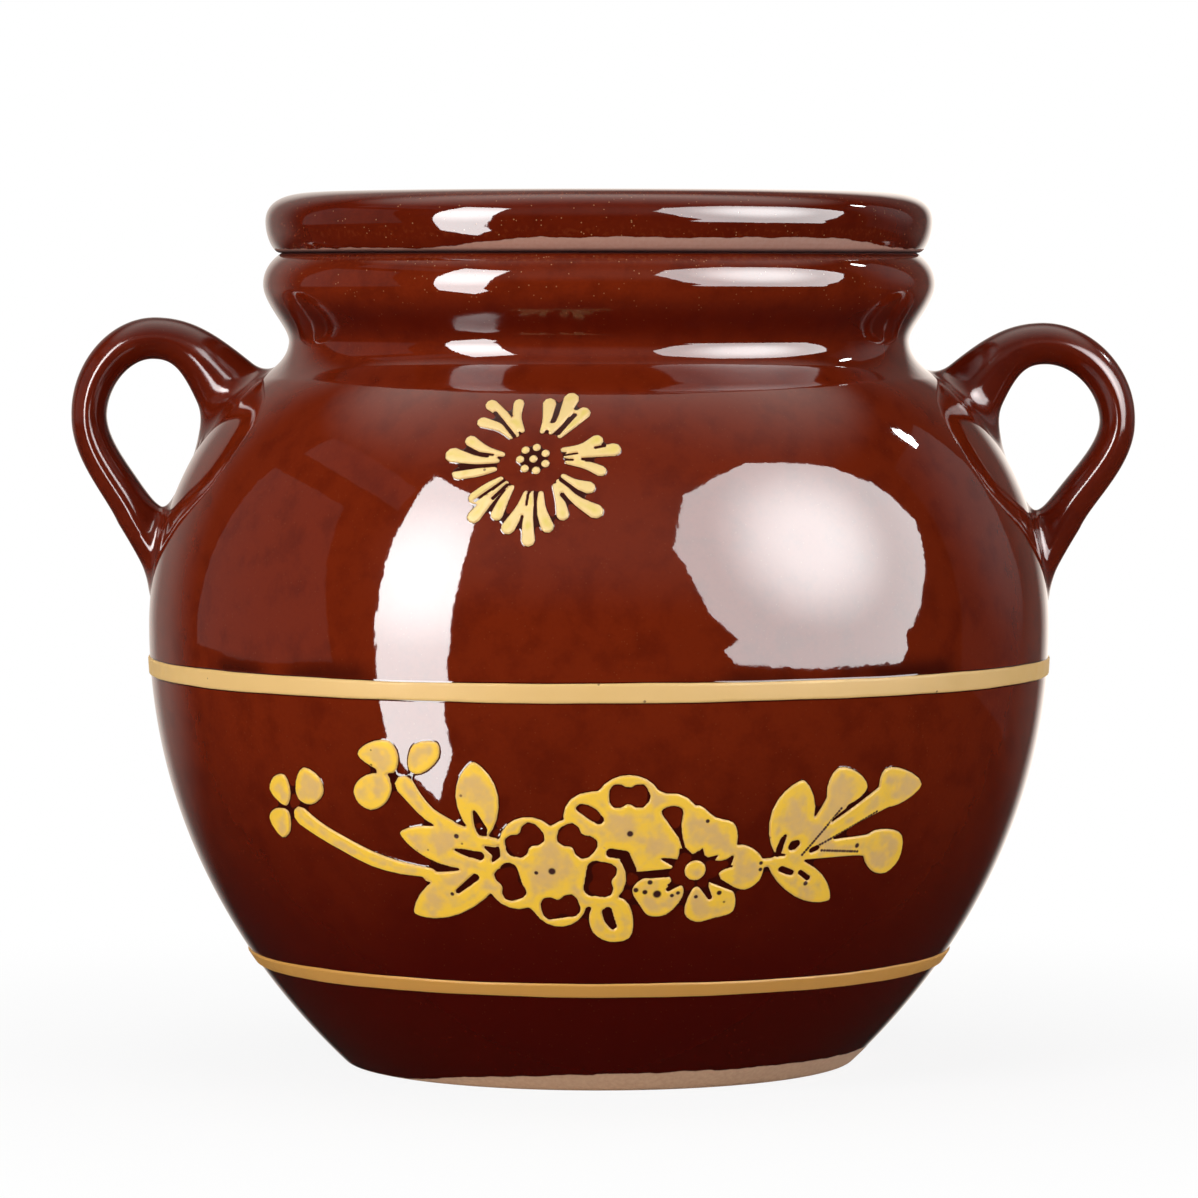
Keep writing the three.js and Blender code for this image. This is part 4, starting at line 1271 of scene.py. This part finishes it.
def spray_joins(face):
    """The spray's joins as places on the pot."""
    return [
        (pot_spot(face, SPRAY_HEIGHT, *first), pot_spot(face, SPRAY_HEIGHT, *last), radius * MM)
        for first, last, radius in SPRAY_JOINS
    ]


def rosette_openings(face):
    """The gaps in the rosette's petals, which all point at its middle."""
    slots = []
    for bearing, near, far, width in ROSETTE_GAPS:
        slots.append([(*spoke(ROSETTE_MIDDLE, bearing, distance), width) for distance in (near, far)])
    return flower_openings(face, ROSETTE_HEIGHT, slots)


def spray_pinholes(face):
    """The spray's pinholes and cracks as places on the pot."""
    dots = list(SPRAY_PINHOLES)
    for (x1, y1, x2, y2), count in STEM_CRACKS:
        step = Vector((x2 - x1, y2 - y1)) / count
        for dash in range(count):
            for dot in DASH_DOTS:
                spot = Vector((x1, y1)) + (dash + 0.5 + dot) * step
                dots.append((spot.x, spot.y, CRACK_RADIUS))
    rise = bpy.context.scene.jar_slip.rise
    return [(pot_spot(face, SPRAY_HEIGHT, x, y, rise), radius * MM) for x, y, radius in dots]


class JAR_OT_rosette(bpy.types.Operator):
    """Lay the slip rosette on the shoulder"""

    bl_idname = "jar.rosette"
    bl_label = "Rosette"

    def execute(self, context):
        slip = context.scene.jar_slip
        make_flowers(
            "rosette", ROSETTE_NODES, slip.rosette_grain, slip.rosette_bead, rosette_slip(),
            rosette_openings(pot_face()),
        )
        return {"FINISHED"}


class JAR_OT_spray(bpy.types.Operator):
    """Lay the slip spray of blossoms, leaves and buds on the belly"""

    bl_idname = "jar.spray"
    bl_label = "Spray"

    def execute(self, context):
        face = pot_face()
        slip = context.scene.jar_slip
        make_flowers(
            "spray", SPRAY_NODES, slip.spray_grain, slip.bead_width, flower_slip(),
            spray_openings(face), spray_pinholes(face), spray_joins(face),
        )
        return {"FINISHED"}


# Stage

# The photograph's view: the eye's distance from the axis, its height, and the height that it looks at
EYE_DISTANCE = 1352 * MM
EYE_HEIGHT = 174.2 * MM
LOOK_HEIGHT = 102.6 * MM
LENS = 182.7
SENSOR_WIDTH = 36

# The floor's size, how white it shows to the eye near the jar and far off, and the distances between
FLOOR_SIZE = 8
FLOOR_WHITE = (0.88, 1)
FLOOR_FADE = (0.08, 0.3)

# Softboxes and screens that the glaze mirrors: corners as directions in degrees from the jar
PANEL_DISTANCE = 12
PANEL_FADE = (0.08, 0.5)
STRIP_CORNERS = [
    (-58, 47), (-58, 20), (-57, -20), (-46, -32), (-39, -23), (-39.5, -15),
    (-37, 0), (-36, 26), (-35.5, 42),
]
OCTAGON_CORNERS = [
    (20, 29), (27, 45), (42, 50), (57, 52), (83, 43), (94, 30), (97, 23), (94, 16), (89, 6),
    (86, 2), (83, -1), (84, -4), (82, -6), (55, -7), (34, -6), (31, -4), (35, 0), (28, 8),
]
LEFT_SCREEN_CORNERS = [(-79, 32), (-115, 29.5), (-121, 9), (-123, -4), (-70, -6), (-72, 6), (-76, 18)]
UPPER_SCREEN_CORNERS = [(-60, 42), (-108, 43), (-110, 36), (-62, 35)]
RIGHT_SCREEN_CORNERS = [(104, 34), (131, 33), (137, 2), (133, -12), (104, -8)]
SPOT_CORNERS = [(119.5, 32.5), (122, 32), (123.5, 33.5), (123, 36.5), (121.5, 38), (120, 37.5), (119, 35)]

# Each panel's direction, corners, and strength at its edge and in the middle
PANELS = {
    "strip_softbox": ((-46, 18), STRIP_CORNERS, 17, 25),
    "octagon_softbox": ((59, 26), OCTAGON_CORNERS, 10, 20),
    "left_screen": ((-92, 16), LEFT_SCREEN_CORNERS, 0.2, 0.2),
    "upper_screen": ((-85, 39), UPPER_SCREEN_CORNERS, 0.2, 0.2),
    "right_screen": ((130, 18), RIGHT_SCREEN_CORNERS, 0.06, 0.3),
    "back_spot": ((121, 35), SPOT_CORNERS, 40, 40),
}

# Each lamp's power, size and place
LAMPS = {
    "key_lamp": (12, 0.8, (-0.9, -1.0, 0.8)),
    "fill_lamp": (5, 1.0, (1.1, -0.9, 0.7)),
    "top_lamp": (4.5, 1.0, (0, 0.1, 1.4)),
}

# What the glaze mirrors of the studio: backdrop and rim on the left and the right, ceiling, and a dim room
# low down and high up
BACKDROP = (0.3, 0.1)
RIM = (0.5, 1.3)
CEILING = 2.2
ROOM_LOW = 0.02
ROOM_HIGH = 0.3

# Even light from the room, and its tint in the glaze
FILL_LIGHT = 0.28
ROOM_TINT = (1, 0.9, 0.82)


def heading(azimuth, elevation):
    """A direction from the jar. Azimuth 0 is towards the eye, positive to the right."""
    turn, tilt = math.radians(azimuth), math.radians(elevation)
    return Vector((math.sin(turn) * math.cos(tilt), -math.cos(turn) * math.cos(tilt), math.sin(tilt)))


def glow_material(name, edge, middle):
    """A light panel with one strength at its edge and another in the middle."""
    material, wire = start_material(name)
    place = wire.node("ShaderNodeTexCoord", output="Object")
    away = place.node("ShaderNodeVectorMath", {0: place}, output="Value", operation="LENGTH")
    strength = between(middle, edge, smooth(away, *(PANEL_DISTANCE * share for share in PANEL_FADE)))
    shader = wire.node("ShaderNodeEmission", {"Color": (1, 1, 1, 1), "Strength": strength})
    finish_material(wire, shader)
    return material


def make_panel(name, middle, corners, edge_strength, middle_strength):
    """A softbox that shows only as a reflection, from the directions of its middle and its corners."""
    aim = heading(*middle)
    deselect()
    bpy.ops.mesh.primitive_circle_add(vertices=len(corners), fill_type="NGON")
    panel = bpy.context.object
    panel.name = name
    panel.location = PANEL_DISTANCE * aim + Vector((0, 0, bpy.context.scene.jar_pot.belly_height))
    for vertex, corner in zip(panel.data.vertices, corners):
        side = heading(*corner)
        vertex.co = PANEL_DISTANCE * (side / side.dot(aim) - aim)
    panel.data.materials.append(glow_material(name, edge_strength, middle_strength))
    for kind in ("camera", "diffuse", "shadow", "transmission"):
        setattr(panel, "visible_" + kind, False)
    panel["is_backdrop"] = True


def make_lamp(name, power, size, place):
    """A soft lamp that lights the jar and isn't mirrored in its glaze."""
    deselect()
    bpy.ops.object.light_add(type="AREA", location=place)
    lamp = bpy.context.object
    lamp.name = name
    lamp.data.shape = "DISK"
    lamp.data.size = size
    lamp.data.energy = power
    aim = Vector((0, 0, bpy.context.scene.jar_pot.belly_height)) - Vector(place)
    lamp.rotation_euler = aim.to_track_quat("-Z", "Y").to_euler()
    lamp.visible_glossy = False


def make_world():
    """White to the eye. The glaze mirrors a pale backdrop and ceiling, and a dim room in front."""
    world = bpy.data.worlds.new("studio")
    world.use_nodes = True
    world.node_tree.nodes.clear()
    wire = Wire(world.node_tree)
    side = wire.node("ShaderNodeTexCoord", output="Generated")
    side = side.node("ShaderNodeSeparateXYZ", {0: side})
    behind, above = side.other("Y"), side.other("Z")
    right = smooth(side, -0.1, 0.1)
    rim = between(*RIM, right) * smooth(behind, 0.89, 0.98)
    backdrop = (between(*BACKDROP, right) * smooth(behind, 0.55, 0.85) + rim) * smooth(above, -0.3, -0.1)
    ceiling = CEILING * smooth(above, 0.64, 0.9) * smooth(behind, -0.65, 0.9)
    room = ROOM_LOW + ROOM_HIGH * smooth(above, 0.1, 0.5) * (1 - smooth(behind, -0.8, -0.3))
    path = wire.node("ShaderNodeLightPath", output="Is Camera Ray")
    mirrored = path.math("MAXIMUM", path.other("Is Glossy Ray"), path.other("Is Transmission Ray"))
    level = between(FILL_LIGHT, backdrop + ceiling + room, mirrored)
    tint = mixed(mirrored, (1, 1, 1), ROOM_TINT)
    shader = wire.node("ShaderNodeBackground", {"Color": tint, "Strength": between(level, 1, path)})
    wire.node("ShaderNodeOutputWorld", {"Surface": shader})
    bpy.context.scene.world = world


def floor_material():
    """A pale floor that shows white to the eye but for the jar's shadow."""
    colours = bpy.context.scene.jar_colours
    material, wire = start_material("pale_floor")
    place = wire.node("ShaderNodeTexCoord", output="Object")
    away = place.node("ShaderNodeVectorMath", {0: place}, output="Value", operation="LENGTH")
    path = wire.node("ShaderNodeLightPath", output="Is Camera Ray")
    paint = wire.node("ShaderNodeBsdfDiffuse", {"Color": (*colours.floor, 1)})
    glow = wire.node("ShaderNodeEmission", {"Color": (1, 1, 1, 1), "Strength": 1})
    shown = path * between(*FLOOR_WHITE, smooth(away, *FLOOR_FADE))
    shader = wire.node("ShaderNodeMixShader", {0: shown, 1: paint, 2: glow})
    finish_material(wire, shader)
    return material


class JAR_OT_stage(bpy.types.Operator):
    """Set up the floor, the softboxes, the lamps and the camera"""

    bl_idname = "jar.stage"
    bl_label = "Stage"

    def execute(self, context):
        deselect()
        bpy.ops.mesh.primitive_plane_add(size=FLOOR_SIZE, location=(0, 0, 0))
        floor = context.object
        floor.name = "floor"
        floor.data.materials.append(floor_material())
        floor.visible_glossy = False
        floor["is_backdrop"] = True
        make_world()
        for name, settings in PANELS.items():
            make_panel(name, *settings)
        for name, settings in LAMPS.items():
            make_lamp(name, *settings)
        bpy.ops.object.camera_add(location=(0, -EYE_DISTANCE, EYE_HEIGHT))
        camera = context.object
        aim = Vector((0, EYE_DISTANCE, LOOK_HEIGHT - EYE_HEIGHT))
        camera.rotation_euler = aim.to_track_quat("-Z", "Y").to_euler()
        camera.data.lens = LENS
        camera.data.sensor_width = SENSOR_WIDTH
        context.scene.camera = camera
        context.scene.view_settings.view_transform = "Standard"
        return {"FINISHED"}


# Panel and registration


class JAR_PT_panel(bpy.types.Panel):
    bl_label = "Lard jar"
    bl_idname = "JAR_PT_panel"
    bl_space_type = "VIEW_3D"
    bl_region_type = "UI"
    bl_category = "Lard Jar"

    def draw(self, context):
        for operator in OPERATORS:
            self.layout.operator(operator.bl_idname)
        for group in SETTINGS:
            for key in SETTINGS[group].__annotations__:
                self.layout.prop(getattr(context.scene, group), key)


OPERATORS = (
    JAR_OT_pot,
    JAR_OT_lid,
    JAR_OT_handles,
    JAR_OT_bands,
    JAR_OT_rosette,
    JAR_OT_spray,
    JAR_OT_stage,
)
SETTINGS = {
    "jar_pot": JarPotSizes,
    "jar_lid": JarLidSizes,
    "jar_handles": JarHandleSizes,
    "jar_slip": JarSlipSizes,
    "jar_colours": JarColours,
}


def register():
    for name, group in SETTINGS.items():
        bpy.utils.register_class(group)
        setattr(bpy.types.Scene, name, bpy.props.PointerProperty(type=group))
    for operator in OPERATORS:
        bpy.utils.register_class(operator)
    bpy.utils.register_class(JAR_PT_panel)


def unregister():
    bpy.utils.unregister_class(JAR_PT_panel)
    for operator in reversed(OPERATORS):
        bpy.utils.unregister_class(operator)
    for name, group in SETTINGS.items():
        delattr(bpy.types.Scene, name)
        bpy.utils.unregister_class(group)


def main():
    register()
    bpy.ops.jar.pot()
    bpy.ops.jar.lid()
    bpy.ops.jar.handles()
    bpy.ops.jar.bands()
    bpy.ops.jar.rosette()
    bpy.ops.jar.spray()
    bpy.ops.jar.stage()
    boxes = {"cad": CAD_BOX, "visual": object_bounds()}
    {key: [list(corner) for corner in box] for key, box in boxes.items()}


if __name__ == "__main__":
    main()
